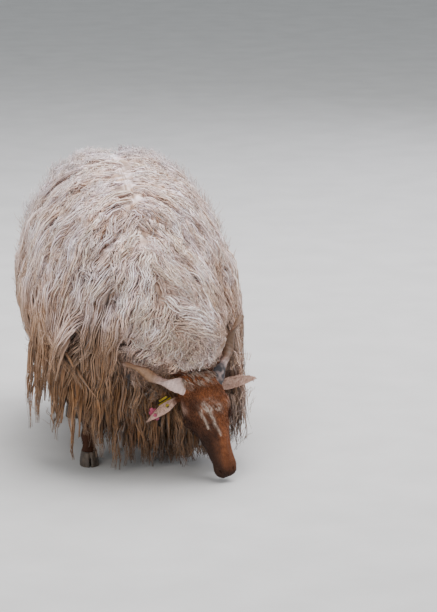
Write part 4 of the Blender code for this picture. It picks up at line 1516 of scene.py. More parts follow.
@dataclass
class Batch:
    """Strands that are ready to be skinned, in arrays of strands by levels."""

    middle: Array
    aside: Array
    out: Array
    half: Array
    share: Array
    layer: Array
    painted_light_and_tone: Array
    spot: Array
    flatness: float = 0.75

    def only(self, keep: Array) -> Batch:
        """The strands that a mask keeps, one truth for each."""
        parts = (self.middle, self.aside, self.out, self.half, self.share, self.layer, self.painted_light_and_tone, self.spot)
        return Batch(*(part[keep] for part in parts), self.flatness)


def of_kind(locks: list[Lock], name: str, pick: Array) -> Array:
    """One number of the locks' kinds, as a column.

    Args:
        locks: The locks.
        name: The field of their kind.
        pick: The lock of each row.

    Returns:
        The column.
    """
    return np.array([getattr(lock.kind, name) for lock in locks])[pick][:, None]


def length_of(lines: Array) -> Array:
    """The length of each line in an array of lines by steps by 3."""
    return np.linalg.norm(np.diff(lines, axis=1), axis=2).sum(1)


def unit(ways: Array, least: float = 1e-9) -> Array:
    """The ways in the last axis, each brought to a length of 1."""
    return ways / np.maximum(np.linalg.norm(ways, axis=-1, keepdims=True), least)


@dataclass
class Fleece:
    """Long wavy locks of many tufts, which part along the spine, lie over the body and hang to the grass."""

    body: Body
    skull: Skull
    horns: tuple
    ears: tuple
    bed: BVHTree
    hems: tuple = ((-0.25, -0.12, -0.08, 0.00, 0.10, 0.26), (0.070, 0.050, 0.014, 0.004, 0.008, 0.050))
    steps: int = 20
    levels: int = 10
    tufts: int = 6
    strands: int = 5
    patch: float = 0.003
    seed: int = 700
    lane: float = 0.040
    girth: float = 0.275
    axis: float = 0.410
    reach: tuple = (-0.40, 0.515)
    neck_reach: tuple = (-0.372, 0.50)
    tail_reach: tuple = (0.30, 0.535)
    room: tuple = ((-0.272, 0.272), (-0.420, 0.535), (0.012, 0.686))
    ground: float = 0.006
    ring_sides: int = 144
    neck_sections: tuple = (-0.10, 4.70)
    frizz: int = 480
    thick_frizz: int = 1500
    frizz_levels: int = 5
    frizz_lengths: tuple = (0.016, 0.044)
    sway: float = 0.0036
    sway_length: float = 0.085
    furrow_depth: float = 0.0150
    core_depth: float = 0.016
    ridge_height: float = 0.0050
    sunk_at_horns: float = 0.020
    white: tuple = (0.980, 0.865, 0.880)
    cream: tuple = (0.800, 0.610, 0.500)
    tan: tuple = (0.280, 0.162, 0.084)
    deep: tuple = (0.250, 0.120, 0.048)
    lilac_highlight: tuple = (0.975, 0.905, 1.000)
    warm_crown_light: tuple = (1.100, 0.900, 0.840)
    golden: tuple = (0.400, 0.245, 0.140)
    furrow_shade: tuple = (0.480, 0.290, 0.160)
    edge_shade_and_ridge_light: tuple = (0.84, 0.84, 1.10)

    def lean(self, y: Array | float) -> Array | float:
        """How far the wool sweeps back for each metre that it falls from the spine, at a place along Y."""
        return 0.9 * ease((y - 0.26) / 0.18) - 0.50 * ease((0.20 - y) / 0.30)

    def comb(
        self, root: Vector, heading: Vector, kind: LockKind, layer: float, limits: tuple, dice: Dice
    ) -> tuple[list, list]:
        """Lets one lock fall from its root: it rises from the skin, lies over the body, then hangs.

        Args:
            root: Where it grows.
            heading: The way it starts.
            kind: How it grows.
            layer: Its share of the coat's depth.
            limits: The lowest and highest Y that it may reach, and the height of its hem.
            dice: What makes it differ from its neighbours.

        Returns:
            The points of its middle, and the way out of the coat at each.
        """
        low_y, high_y, hem = limits
        step = kind.length / self.steps
        phase = dice.uniform(0, 7)
        flatter_on_top, grown_by = 0.60, 0.05
        _, normal, _, _ = self.bed.find_nearest(root)
        full = kind.lift * layer * (1 - flatter_on_top * max(normal.z, 0.0))
        path, outs = [root - normal * 0.004, root + normal * full * 0.6 + heading * 0.006], [normal, normal]
        point = path[1].copy()
        for i in range(self.steps):
            heading = (heading + DOWN * kind.pull * step).normalized()
            before = point.copy()
            point = point + heading * step
            place, normal, _, _ = self.bed.find_nearest(point)
            grown = 0.60 + 0.40 * float(ease((i + 1) * step / grown_by))
            stand = kind.lift * layer * (1 - flatter_on_top * max(normal.z, 0.0)) * grown
            clear = (point - place).dot(normal)
            if clear < stand:
                point += normal * (stand - clear)
            elif normal.z > 0.2:
                point -= normal * (clear - stand) * 0.5
            if normal.z < 0.1:
                point.x -= math.copysign(kind.tuck * step, point.x - place.x)
            point.y += math.sin(i * 0.45 + phase) * 0.0014
            point.y = min(max(point.y, low_y), high_y)
            heading = (point - before).normalized()
            if point.z < hem:
                drop = (before.z - hem) / max(before.z - point.z, 1e-6)
                path.append(before.lerp(point, min(max(drop, 0.05), 1.0)))
                outs.append(normal)
                break
            path.append(point.copy())
            outs.append(normal)
        return path, outs

    def off_head(self, path: list, outs: list) -> tuple[list, list]:
        """Leads a lock round the back of the head and behind the horns, and ends it before the face.

        Args:
            path: The points of its middle.
            outs: The way out of the coat at each.

        Returns:
            What is kept of both.
        """
        s = self.skull
        room, horn_room, horn_depth = 0.022, 0.032, 0.036
        kept, ways = [], []
        for point, out in zip(path, outs):
            rise = point - s.lips
            along, aside, front = rise.dot(s.down) + s.length, rise.dot(s.left), rise.dot(s.front)
            if 0.0 < along < 0.29:
                _, half_width, _, back = read_table(s.slices, along)
                wide, deep = half_width + room, back + room
                if abs(aside) < wide and front > -0.012:
                    break
                inside = math.hypot(aside / wide, front / deep)
                if inside < 1.0 and front < 0:
                    grow = 1 / max(inside, 0.25) - 1
                    point = point + (s.left * aside + s.front * front) * grow
            stop = False
            for horn in self.horns:
                base, way = horn.axis()
                share = min(max((point - base).dot(way) / way.length_squared, 0.0), 1.0)
                off = point - base - way * share
                ahead = off.dot(s.front)
                if (off - s.front * ahead).length < horn_room and ahead > -horn_depth:
                    stop = stop or ahead > 0.034
                    point = point - s.front * (ahead + horn_depth)
            if stop:
                break
            kept.append(point)
            ways.append(out)
        return kept, ways

    def lock(
        self, root: Vector, away: Vector, kind: LockKind, limits: tuple, spot: tuple, dice: Dice
    ) -> Lock | None:
        """One lock, evened out to a fixed count of steps.

        Args:
            root: Near where it grows.
            away: The way that it falls over the skin.
            kind: How it grows.
            limits: The lowest and highest Y that it may reach, and the height of its hem.
            spot: Its root's place on the unwrap of the skin.
            dice: What makes it differ from its neighbours.

        Returns:
            The lock, or nothing where the head leaves no room for it.
        """
        place, normal, _, _ = self.bed.find_nearest(root)
        heading = (away - normal * away.dot(normal)).normalized()
        layer = 1.0 - 0.32 * dice.uniform() ** 1.5
        path, outs = self.comb(place, heading, kind, layer, limits, dice)
        path, outs = self.off_head(path, outs)
        fewest = 5
        if len(path) < fewest:
            return None
        line, ways = np.array(path), np.array(outs)
        reach = np.concatenate([[0.0], np.cumsum(np.linalg.norm(np.diff(line, axis=0), axis=1))])
        marks = np.linspace(0, reach[-1], self.steps)
        line, ways = (
            np.stack([np.interp(marks, reach, row[:, i]) for i in range(3)], 1) for row in (line, ways)
        )
        return Lock(line, ways, kind, layer, spot)

    def torso_locks(self, dice: Dice, side: Side, rows: tuple) -> Iterator[Lock | None]:
        """Locks over one side of the torso, in rows along it.

        Args:
            dice: What makes them differ.
            side: Which side.
            rows: Each row's turn from the spine in degrees, and its locks' length.

        Returns:
            The locks, one by one.
        """
        for row, length in rows:
            for i in range(-4, 12):
                degrees = row + dice.uniform(-7, 7)
                turn = math.radians(degrees)
                y = (i + 0.5 * (side is Side.LEFT)) * self.lane
                swept = math.fmod(float(self.lean(y)) * self.girth * turn, self.lane)
                y += swept + dice.uniform(-0.005, 0.005)
                _, half_width, middle, top, belly, hem = read_table(self.body.girths, y)
                rise = (top - middle) if degrees < 90 else (middle - belly)
                spot = Vector((side.value * half_width * math.sin(turn), y, middle + rise * math.cos(turn)))
                frizz = float(ease((y - 0.14) / 0.20)) * float(ease((80 - degrees) / 40))
                lean = float(self.lean(y)) + dice.uniform(-1, 1) * (0.07 + 0.60 * frizz)
                sweep = (max(math.cos(turn), 0.02) * side.value, lean, -math.sin(turn))
                kind = LockKind(
                    length=length * dice.uniform(0.85, 1.15) * (1 - 0.45 * frizz),
                    width=dice.uniform(0.036, 0.048),
                    strand=dice.uniform(0.0040, 0.0056) * (1 - 0.1 * frizz),
                    wave=0.0018 + 0.0024 * frizz,
                    wave_length=0.026 - 0.008 * frizz,
                    curl=frizz,
                    pull=7.0 + 8.0 * frizz,
                )
                low = 0.078 * float(ease((0.42 - y) / 0.20))
                limits = (*self.reach, max(hem - low, 0.044) + dice.uniform(-0.022, 0.026))
                place = ((y + 0.20) / 0.70, 0.5 + side.value * degrees / 300)
                yield self.lock(spot, Vector(sweep), kind, limits, place, dice)

    def topline_locks(self, dice: Dice, count: int) -> Iterator[Lock | None]:
        """Shorter locks rooted along the spine and the withers, which close the parting.

        Args:
            dice: What places them.
            count: How many locks.

        Returns:
            The locks, one by one.
        """
        for i in range(count):
            side = 1 if i % 2 else -1
            y = -0.235 + 0.690 * (i + dice.uniform()) / count
            _, _, _, top, _, _ = read_table(self.body.girths, y)
            front = float(ease((-0.06 - y) / 0.10))
            spot = Vector((side * dice.uniform(0.0, 0.05 + 0.05 * front), y, top))
            rear = float(ease((y - 0.30) / 0.10))
            sideways = side * dice.uniform(0.5, 1.0)
            away = Vector((sideways, 0.9 * rear - 0.5 - 0.7 * front + dice.uniform(-0.3, 0.3), 0.0))
            frizz = float(ease((y - 0.10) / 0.20))
            length = dice.uniform(0.14, 0.20) * (1 - 0.35 * frizz)
            width = dice.uniform(0.040, 0.052)
            kind = LockKind(length, width, wave=0.0026 + 0.0012 * frizz, curl=0.3 + 0.6 * frizz)
            place = ((y + 0.24) / 0.74, 0.5 + side * 0.02)
            yield self.lock(spot, away, kind, (*self.reach, 0.1), place, dice)

    def rump_locks(self, dice: Dice, count: int) -> Iterator[Lock | None]:
        """Locks over the round of the rump, which fan out backwards and hang behind the thighs.

        Args:
            dice: What places them.
            count: How many locks.

        Returns:
            The locks, one by one.
        """
        for i in range(count):
            side = 1 if i % 2 else -1
            lean = math.radians(125 * ((i * GOLDEN) % 1.0))
            far = math.sqrt(0.05 + 0.95 * i / count)
            spot = Vector((side * 0.165 * far * math.sin(lean), 0.47, 0.470 + 0.125 * far * math.cos(lean)))
            away = Vector((side * math.sin(lean), 0.8, dice.uniform(-0.2, 0.1)))
            kind = LockKind(dice.uniform(0.15, 0.25), lift=0.036, curl=0.4, wave=0.0040, wave_length=0.024)
            limits = (*self.reach, 0.235 + dice.uniform(0.0, 0.05))
            place = (0.90 + 0.09 * far * math.cos(lean), 0.5 + side * 0.40 * far * math.sin(lean))
            yield self.lock(spot, away, kind, limits, place, dice)

    def neck_spot(self, place: float, degrees: float) -> Vector:
        """The point of the neck's skin at a place along it and a turn from the crest."""
        ring = self.body.neck_ring(place, self.ring_sides)
        return Vector(ring[int(round(degrees / (360 / self.ring_sides))) % self.ring_sides])

    def neck_locks(
        self, dice: Dice, side: Side, turns: tuple, places: tuple, count: int
    ) -> Iterator[Lock | None]:
        """Locks over one side of the neck: along the crest to the head, and down to the grass at the sides.

        Args:
            dice: What places them.
            side: Which side.
            turns: The lowest and highest turn from the crest, in degrees.
            places: The lowest and highest place along the neck, in sections from the withers.
            count: How many locks.

        Returns:
            The locks, one by one.
        """
        for i in range(count):
            place = places[0] + (places[1] - places[0]) * ((i * GOLDEN) % 1.0)
            degrees = turns[0] + (turns[1] - turns[0]) * (i + dice.uniform()) / count
            spot = self.neck_spot(place, side.value * degrees)
            row = int(min(max(place, 0.0), 4.0))
            ahead = Vector(self.body.collars[row + 1][1:4]) - Vector(self.body.collars[row][1:4])
            turn = math.radians(degrees)
            fall = Vector((side.value * math.cos(turn), 0.0, -math.sin(turn)))
            away = ahead.normalized() * max(0.75 - degrees / 90, 0.0)
            away = away + fall * (0.50 + 0.50 * float(ease(degrees / 30)))
            away += Vector((0.0, dice.uniform(-0.12, 0.12), 0.0))
            near_poll = float(ease((place - 2.8) / 1.2)) if degrees < 60 else 0.0
            reach = 0.015 * (side is Side.RIGHT)
            length = (0.17 + reach + (0.14 + reach) * float(ease(degrees / 66))) * dice.uniform(0.85, 1.12)
            kind = LockKind(
                length=length * (1 - 0.50 * near_poll),
                width=dice.uniform(0.034, 0.046) * (1 - 0.3 * near_poll),
                strand=dice.uniform(0.0040, 0.0054),
                wave=0.0019,
                curl=0.20 + 0.45 * near_poll,
                lift=0.034 + 0.018 * float(ease((degrees - 66) / 20)) * (side is Side.LEFT),
                tuck=0.0,
                pull=11.0 + 5.0 * float(ease((degrees - 50) / 40)),
            )
            hem = float(np.interp(spot.x + side.value * 0.03, *self.hems)) + dice.uniform(-0.012, 0.022)
            uv = ((place + 0.1) / 5.0, 0.5 + side.value * degrees / 320)
            yield self.lock(spot, away, kind, (*self.neck_reach, max(hem, 0.010)), uv, dice)

    def poll_locks(self, dice: Dice, count: int) -> Iterator[Lock | None]:
        """Short curled locks on the front of the neck, up to the horns.

        Args:
            dice: What places them.
            count: How many locks.

        Returns:
            The locks, one by one.
        """
        for i in range(count):
            place = 3.0 + 1.98 * ((i * GOLDEN) % 1.0)
            degrees = -88 + 176 * (i + dice.uniform()) / count
            spot = self.neck_spot(place, degrees)
            sideways = math.sin(math.radians(degrees)) + dice.normal(0, 0.5)
            away = Vector((sideways, -0.7 + dice.normal(0, 0.4), -0.5))
            kind = LockKind(
                length=dice.uniform(0.055, 0.095),
                width=dice.uniform(0.024, 0.036),
                tuft=0.011,
                strand=0.0036,
                wave=0.0042,
                wave_length=0.017,
                lift=0.036,
                curl=0.9,
            )
            uv = ((place + 0.1) / 5.2, 0.5 + degrees / 320)
            yield self.lock(spot, away, kind, (*self.neck_reach, 0.02), uv, dice)

    def tail_locks(self, dice: Dice, count: int) -> Iterator[Lock | None]:
        """Locks round the tail, which hang past its tip.

        Args:
            dice: What places them.
            count: How many locks.

        Returns:
            The locks, one by one.
        """
        top, tip = Vector(self.body.tail_top), Vector(self.body.tail_tip)
        for i in range(count):
            share = 0.02 + 0.88 * i / count
            turn = math.radians(110 * math.sin(i * 2.4))
            way = Vector((math.sin(turn), math.cos(turn), 0.0))
            spot = top.lerp(tip, share) + way * 0.04
            kind = LockKind(dice.uniform(0.10, 0.16), 0.030, lift=0.012, tuck=0.0)
            limits = (*self.tail_reach, 0.170 + dice.uniform(0.0, 0.03))
            yield self.lock(spot, way + DOWN * 1.2, kind, limits, (share, 0.5 + turn / 7), dice)

    def frames(self, locks: list[Lock]) -> tuple[Array, Array, Array]:
        """The locks' points with steady ways across and out of the coat.

        Args:
            locks: The locks.

        Returns:
            The points, the ways across and the ways out, each locks by steps by 3.
        """
        line = np.array([lock.path for lock in locks])
        ways = np.array([lock.out for lock in locks])
        along = unit(np.gradient(line, axis=1))
        aside = np.zeros_like(line)
        held = unit(np.cross(along[:, 2], ways[:, 1]))
        for i in range(line.shape[1]):
            across = np.cross(along[:, i], ways[:, i])
            size = np.linalg.norm(across, axis=1, keepdims=True)
            across = np.where(size > 0.25, across / np.maximum(size, 1e-9), held)
            across = np.where((across * held).sum(1, keepdims=True) < 0, -across, across)
            mixed = held * 1.5 + across
            mixed -= along[:, i] * (mixed * along[:, i]).sum(1, keepdims=True)
            held = unit(mixed)
            aside[:, i] = held
        return line, aside, np.cross(aside, along)

    def grow_tufts(self, locks: list[Lock], dice: Dice) -> Batch:
        """Lays every lock's tufts along it, each over its own stretch, close together towards the lock's tip.

        Args:
            locks: The locks.
            dice: What makes the tufts differ.

        Returns:
            The tufts' middles; half holds each tuft's radius.
        """
        line, aside, out = self.frames(locks)
        count, steps = line.shape[:2]
        pick = np.repeat(np.arange(count), self.tufts)
        total = len(pick)
        curl = of_kind(locks, "curl", pick)
        across = np.tile(np.linspace(-1, 1, self.tufts), count)[:, None]
        across = across + dice.uniform(-0.16, 0.16, (total, 1))
        depth = dice.uniform(-1.0, 0.7, (total, 1))
        start = dice.uniform(0.0, 0.46, (total, 1)) * (dice.uniform(size=(total, 1)) > 0.25)
        stop = np.minimum(start + dice.uniform(0.50, 0.70, (total, 1)), 1.0)
        share = np.linspace(0, 1, self.levels)[None]
        place = start + (stop - start) * share
        spot = place * (steps - 1)
        low = np.minimum(spot.astype(int), steps - 2)
        part = (spot - low)[..., None]
        row = pick[:, None]

        def read(values: Array) -> Array:
            """Reads the locks' arrays at each tuft's own places."""
            return values[row, low] * (1 - part) + values[row, low + 1] * part

        aside_way, out_way = read(aside), read(out)
        narrow = 0.70 + 0.30 * np.sin(np.pi * np.minimum(place * 1.6, 1.0))
        narrow = narrow * (1 - (0.45 - 0.30 * curl) * ease((place - 0.30) / 0.70))
        phase = np.array([7.0 * ((i * GOLDEN) % 1.0) for i in range(count)])[pick][:, None]
        length = length_of(line)[pick][:, None]
        sway = self.sway * np.sin(place * length * 2 * np.pi / self.sway_length + phase) * ease(place * 4)
        side_off = across * of_kind(locks, "width", pick) / 2 * narrow + sway
        out_off = depth * 0.0070 - 0.0085 * across**2 * narrow + 0.0045 * ease(share) * (0.4 + curl)
        middle = read(line) + aside_way * side_off[..., None] + out_way * out_off[..., None]
        sunk = self.furrow(middle.reshape(-1, 3)).reshape(middle.shape[:2])
        middle = middle - out_way * (self.furrow_depth * sunk * ease(place * 5))[..., None]
        layers = np.array([lock.layer for lock in locks])[pick] - 0.10 * (0.7 - depth[:, 0])
        # Painted shade on tufts at a lock's edges and on those deeper in it, lighter at its middle.
        painted_light_and_tone = 1.10 - 0.26 * np.abs(across[:, 0]) ** 2.2 + 0.06 * depth[:, 0]
        spots = np.array([lock.spot for lock in locks])[pick]
        spots = spots + np.stack([across[:, 0] * 0.02, start[:, 0] * 0.10], 1)
        radius = of_kind(locks, "tuft", pick) / 2 * dice.uniform(0.80, 1.20, (total, 1))
        radius = np.repeat(radius, self.levels, 1)[..., None]
        return Batch(middle, aside_way, out_way, radius, place, layers, painted_light_and_tone, spots)

    def grow_strands(self, locks: list[Lock], dice: Dice) -> Batch:
        """Splits every tuft into wavy strands that run together at its tip.

        Args:
            locks: The locks.
            dice: What makes the strands differ.

        Returns:
            The strands.
        """
        tufts = self.grow_tufts(locks, dice)
        pick = np.repeat(np.arange(len(tufts.middle)), self.strands)
        total = len(pick)
        wave, wave_length, curl, width = (
            of_kind(locks, name, pick // self.tufts) for name in ("wave", "wave_length", "curl", "strand")
        )

        def twin(values: Array) -> Array:
            """One random number of each tuft, as a column over its strands."""
            return np.repeat(values, self.strands)[:, None]

        tuft_count = len(tufts.middle)
        child = np.tile(np.arange(self.strands), tuft_count)[:, None]
        share = np.linspace(0, 1, self.levels)[None]
        middle, aside, out = tufts.middle[pick], tufts.aside[pick], tufts.out[pick]
        length = length_of(middle)[:, None]
        angle = child * 2 * np.pi / self.strands + twin(dice.uniform(0, 7, tuft_count))
        spread = (0.70 + 0.30 * np.sin(np.pi * share)) * (1 - 0.72 * ease((share - 0.35) / 0.65))
        radius = tufts.half[pick][..., 0] * spread * dice.uniform(0.7, 1.15, (total, 1))
        phase = twin(dice.uniform(0, 7, tuft_count)) + dice.normal(0, 1.10, (total, 1))
        pace = 2 * np.pi * length / (wave_length * twin(dice.uniform(0.80, 1.30, tuft_count)))
        pace = pace * dice.uniform(0.90, 1.12, (total, 1))
        grown = ease(share / 0.22) * (1 + 0.8 * ease((share - 0.65) / 0.35))
        wave = wave * (grown * twin(dice.uniform(0.7, 1.25, tuft_count)))
        side_off = radius * np.cos(angle) + wave * np.sin(share * pace + phase)
        out_off = radius * 0.6 * np.sin(angle) + wave * 0.8 * np.sin(share * pace * 0.95 + phase * 1.3 + 1.3)
        stray = ease((share - 0.45) / 0.55) * (0.003 + 0.006 * curl)
        side_off = side_off + stray * dice.normal(0, 0.8, (total, 1))
        out_off = out_off + stray * np.abs(dice.normal(0, 0.7, (total, 1)))
        middle = middle + aside * side_off[..., None] + out * out_off[..., None]
        taper = (0.50 + 0.50 * ease(share / 0.18)) * (1 - 0.80 * ease((share - 0.50) / 0.50))
        half = (width / 2 * dice.uniform(0.45, 1.20, (total, 1)) * taper)[..., None]
        spots = tufts.spot[pick] + dice.uniform(-0.004, 0.004, (total, 2))
        painted_light_and_tone = tufts.painted_light_and_tone[pick] * dice.uniform(0.86, 1.12, total)
        return Batch(middle, aside, out, half, np.repeat(share, total, 0), tufts.layer[pick], painted_light_and_tone, spots)

    def grow_cores(self, locks: list[Lock]) -> Batch:
        """One broad, flat strand under each lock's tufts, painted dark as shade, which fills the gaps between
        them.

        Args:
            locks: The locks.

        Returns:
            The strands.
        """
        line, aside, out = (values[:, 2:-3:2] for values in self.frames(locks))
        count, steps = line.shape[:2]
        share = np.repeat(np.linspace(0, 1, steps)[None], count, 0)
        width = np.array([lock.kind.width for lock in locks])[:, None]
        taper = (0.70 + 0.30 * ease(share / 0.2)) * (1 - 0.75 * ease((share - 0.50) / 0.50))
        sway = np.sin(share * 14 + np.arange(count)[:, None]) * 0.0022
        middle = line - out * self.core_depth + aside * sway[..., None]
        # The core is painted darker than the tufts, as shade under them.
        layer, painted_light_and_tone, flatness = 0.66, 0.82, 0.22
        spots = np.array([lock.spot for lock in locks])
        half = (width * 0.48 * taper)[..., None]
        layers, painted_lights_and_tones = np.full(count, layer), np.full(count, painted_light_and_tone)
        return Batch(middle, aside, out, half, share * 0.5 + 0.4, layers, painted_lights_and_tones, spots, flatness)

    def undercoat(self) -> Piece:
        """The dense wool between the skin and the locks, with short ridges along its lie."""
        thick = Body(core_share=0.57, neck_wool=0.011)
        made = combine(thick.torso(2), [thick.neck(2)], "UNION")
        points, normals = points_of(made), normals_of(made)
        ridge = lumps(points * np.array([1.0, 2.2, 0.8]), 0.016, 31) * 0.6 + lumps(points, 0.009, 33) * 0.4
        room = np.ones(len(points))
        for horn in self.horns:
            gap = np.linalg.norm(off_bar(points, horn.axis()), axis=1)
            room = np.minimum(room, ease((gap - 0.012) / 0.040))
        rise = self.ridge_height * ridge - self.sunk_at_horns * (1 - room)
        set_points(made, points + normals * rise[:, None])
        made.name = "fleece_undercoat"
        made.data.shade_smooth()
        shade = self.tone(points, np.full(len(points), 0.45), np.full(len(points), 0.80), normals[:, 2])
        # Painted shade in the valleys between the ridges and near the horns, where the undercoat sinks.
        shade = shade * (0.80 + 0.42 * ridge)[:, None]
        paint(made, "Wool", np.clip(shade * (0.40 + 0.60 * room)[:, None], 0.0, 1.0))
        paint(made, "Fibre", points * np.array([9.0, 1.0, 0.15]) % 1.0)
        corners = np.empty(len(made.data.loops), np.int32)
        made.data.loops.foreach_get("vertex_index", corners)
        turn = np.arctan2(points[:, 0], points[:, 2] - 0.42) / (2 * np.pi) + 0.5
        unwrap(made, np.stack([(points[:, 1] + 0.36) / 0.90, turn], 1), corners)
        return made

    def grow_frizz(self, strands: Batch, count: int, dice: Dice) -> Batch:
        """Loose fine curls that stand out of the coat.

        Args:
            strands: The strands that they stray from.
            count: How many curls.
            dice: What places them.

        Returns:
            The curls.
        """
        levels = self.frizz_levels
        chance = ease((strands.layer - 0.70) / 0.25) + 0.02
        chance = chance * (0.5 + 1.5 * ease((strands.middle[:, 3, 1] - 0.14) / 0.14))
        pick = dice.choice(len(strands.middle), count, p=chance / chance.sum())
        step = dice.integers(3, self.levels - 1, count)
        root, aside, out = strands.middle[pick, step], strands.aside[pick, step], strands.out[pick, step]
        along = np.cross(out, aside)
        share = np.linspace(0, 1, levels)[None, :, None]
        length = dice.uniform(*self.frizz_lengths, (count, 1, 1))
        lean = out * dice.uniform(0.10, 0.60, (count, 1)) + aside * dice.normal(0, 0.55, (count, 1))
        lean = lean - along * dice.uniform(0.2, 1.0, (count, 1))
        lean /= np.linalg.norm(lean, axis=1, keepdims=True)
        spin = share * dice.uniform(5, 12, (count, 1, 1)) + dice.uniform(0, 7, (count, 1, 1))
        loop = dice.uniform(0.0018, 0.0046, (count, 1, 1)) * share**0.5
        middle = root[:, None] + lean[:, None] * length * share + out[:, None] * 0.002
        middle = middle + aside[:, None] * np.sin(spin) * loop + out[:, None] * np.cos(spin) * loop
        half = dice.uniform(0.0008, 0.0016, (count, 1, 1)) * (1 - 0.6 * share)
        shares = np.repeat(share[:, :, 0] * 0.4 + 0.6, count, 0)
        spots = strands.spot[pick] + dice.uniform(-0.006, 0.006, (count, 2))
        aside, out = np.repeat(aside[:, None], levels, 1), np.repeat(out[:, None], levels, 1)
        # Loose curls are painted a little lighter, as painted light.
        return Batch(middle, aside, out, half, shares, np.ones(count), np.full(count, 1.12), spots)

    def clear_of_head(self, strands: Batch) -> Array:
        """Finds the strands that leave the face, the horns and the ears free.

        Args:
            strands: The strands.

        Returns:
            One truth for each strand.
        """
        s = self.skull
        front_way, points = np.array(s.front), strands.middle
        own = s.own(points.reshape(-1, 3)).reshape(points.shape)
        along, aside, front = own[..., 0], own[..., 1], own[..., 2]
        marks, half_widths, _, backs = zip(*s.slices)
        wide = np.interp(along, marks, half_widths) + 0.004
        back = np.interp(along, marks, backs) + 0.004
        level = (along > 0.012) & (along < 0.272)
        inside = (np.hypot(aside / wide, np.minimum(front, 0) / back) < 1) & (front < 0)
        ahead = (front > -0.020) & (np.abs(aside) < wide + 0.016)
        bad = level & (inside | ahead)
        offs = [(off_bar(points, horn.axis()), 0.023, -0.022) for horn in self.horns]
        for ear in self.ears:
            root, way = (np.array(v) for v in ear.frame()[:2])
            share = np.clip((points - root) @ way, 0.004, ear.length)
            offs.append((points - root - share[..., None] * way, 0.026, -0.014))
        for off, room, depth in offs:
            near = off @ front_way
            bad |= (np.linalg.norm(off - near[..., None] * front_way, axis=2) < room) & (near > depth)
        return ~bad.any(axis=1)

    def tone(self, points: Array, share: Array, layer: Array, up: Array) -> Array:
        """The wool's colour: white over the back, cream at the shoulders, tan below, darker at the roots, with
        painted light where it faces up and painted shade in its furrows and deep in the coat.

        Args:
            points: Places along the strands, in rows of 3.
            share: Each place's share of its strand's length.
            layer: How near the coat's surface each strand lies.
            up: How far each place faces up, from -1 to 1.

        Returns:
            One row for each place.
        """
        white, cream, tan, deep = (np.array(c) for c in (self.white, self.cream, self.tan, self.deep))
        lilac_highlight, warm_crown_light, golden, furrow_shade = (
            np.array(c) for c in (self.lilac_highlight, self.warm_crown_light, self.golden, self.furrow_shade)
        )
        x, y, z = points.T
        patch = lumps(points, 0.070, 12)
        # Paler higher up; painted light makes the wool that faces up paler and whiter still.
        lift = np.maximum((z - 0.18) / 0.28, (up - 0.02) / 0.50 * ease((z - 0.16) / 0.16))
        out = tan + (cream - tan) * ease(lift + 0.16 * patch)[:, None]
        facing = 0.95 * ease((up - 0.02 + 0.08 * patch) / 0.38) * ease((z - 0.31) / 0.12)
        high = np.maximum(ease((z - 0.38 + 0.04 * patch) / 0.22), facing)
        toward(out, white, high * (0.88 + 0.12 * patch))
        # A painted lilac highlight over the top of the rump.
        toward(out, lilac_highlight, ease((y - 0.16) / 0.20) * ease((z - 0.48) / 0.12))
        # The crown of the neck is painted a warm white, brighter than white, as painted light.
        crown = ease((-0.19 - y) / 0.06) * ease((z - 0.225) / 0.05)
        crown = crown * (1 - ease((np.abs(x - 0.08) - 0.10) / 0.07))
        toward(out, warm_crown_light, crown * (0.84 + 0.14 * patch))
        shade = ease((0.45 - z) / 0.16) * ease((-0.02 - x) / 0.07) * ease((0.06 - y) / 0.10)
        toward(out, golden, shade * (0.42 + 0.30 * patch))
        # Wool beside the head on her left side is painted paler, as painted light.
        beside = ease((x - 0.150) / 0.050) * ease((-0.15 - y) / 0.06)
        toward(out, cream * 0.92, 0.75 * beside)
        # Painted shade at the roots and on strands lying deep in the coat, less of it where the wool faces up,
        # on the crown and beside the head; the roots are also a real darker tan.
        open_up = np.maximum(ease((up + 0.05) / 0.50), np.maximum(0.85 * crown, 0.6 * beside))
        root = (1 - ease(share / 0.30)) * (1 - 0.85 * open_up)
        toward(out, deep, root * 0.60)
        buried = ease((0.84 - layer) / 0.30) * (1 - 0.75 * open_up)
        toward(out, deep * 1.5, buried * 0.60)
        # Painted shade in the furrows between the locks.
        furrow_shade_tone = furrow_shade * (0.50 + 0.50 * ease((z - 0.15) / 0.30))[:, None]
        toward(out, furrow_shade_tone, self.furrow(points) * 0.80)
        return out * (1 - 0.30 * ease((0.22 - z) / 0.16))[:, None]

    def furrow(self, points: Array) -> Array:
        """How deep each place lies in a furrow between two locks; they run from the spine with the wool.

        Args:
            points: Places, in rows of 3.

        Returns:
            A share for each place.
        """
        x, y, z = points.T
        fallen = self.girth * np.arctan2(np.abs(x), z - self.axis)
        flow = y - self.lean(y) * fallen + 0.007 * lumps(points, 0.085, 51)
        place = flow / self.lane - 0.5 * (x > 0)
        gap = 0.5 - np.abs(place - np.round(place))
        depth = (0.72 + 0.50 * lumps(points, 0.060, 52)) * (1 - 0.7 * ease((-0.20 - y) / 0.06))
        depth = depth * (1 - 0.6 * ease((y - 0.16) / 0.14) * ease((z - 0.48) / 0.10))
        depth = depth * (0.45 + 0.55 * ease((z - 0.30) / 0.12))
        return np.clip(bell(gap, 0.17) * depth, 0.0, 1.0)

    def shades(self, batch: Batch, dice: Dice) -> Array:
        """The colours of a batch's strands, each a little lighter or darker than its neighbours, with painted
        shade and painted light on each tube.

        Args:
            batch: The strands.
            dice: What makes them differ.

        Returns:
            One row for each point of their tubes.
        """
        count, levels = batch.share.shape
        layer = np.repeat(batch.layer[:, None], levels, 1)
        up = batch.out[..., 2].ravel()
        tone = self.tone(batch.middle.reshape(-1, 3), batch.share.ravel(), layer.ravel(), up)
        tone = tone.reshape(count, levels, 1, 3) * batch.painted_light_and_tone[:, None, None, None]
        tone = tone * (1 + np.array([0.02, 0.0, -0.05]) * dice.normal(0, 1.0, (count, 1, 1, 1)))
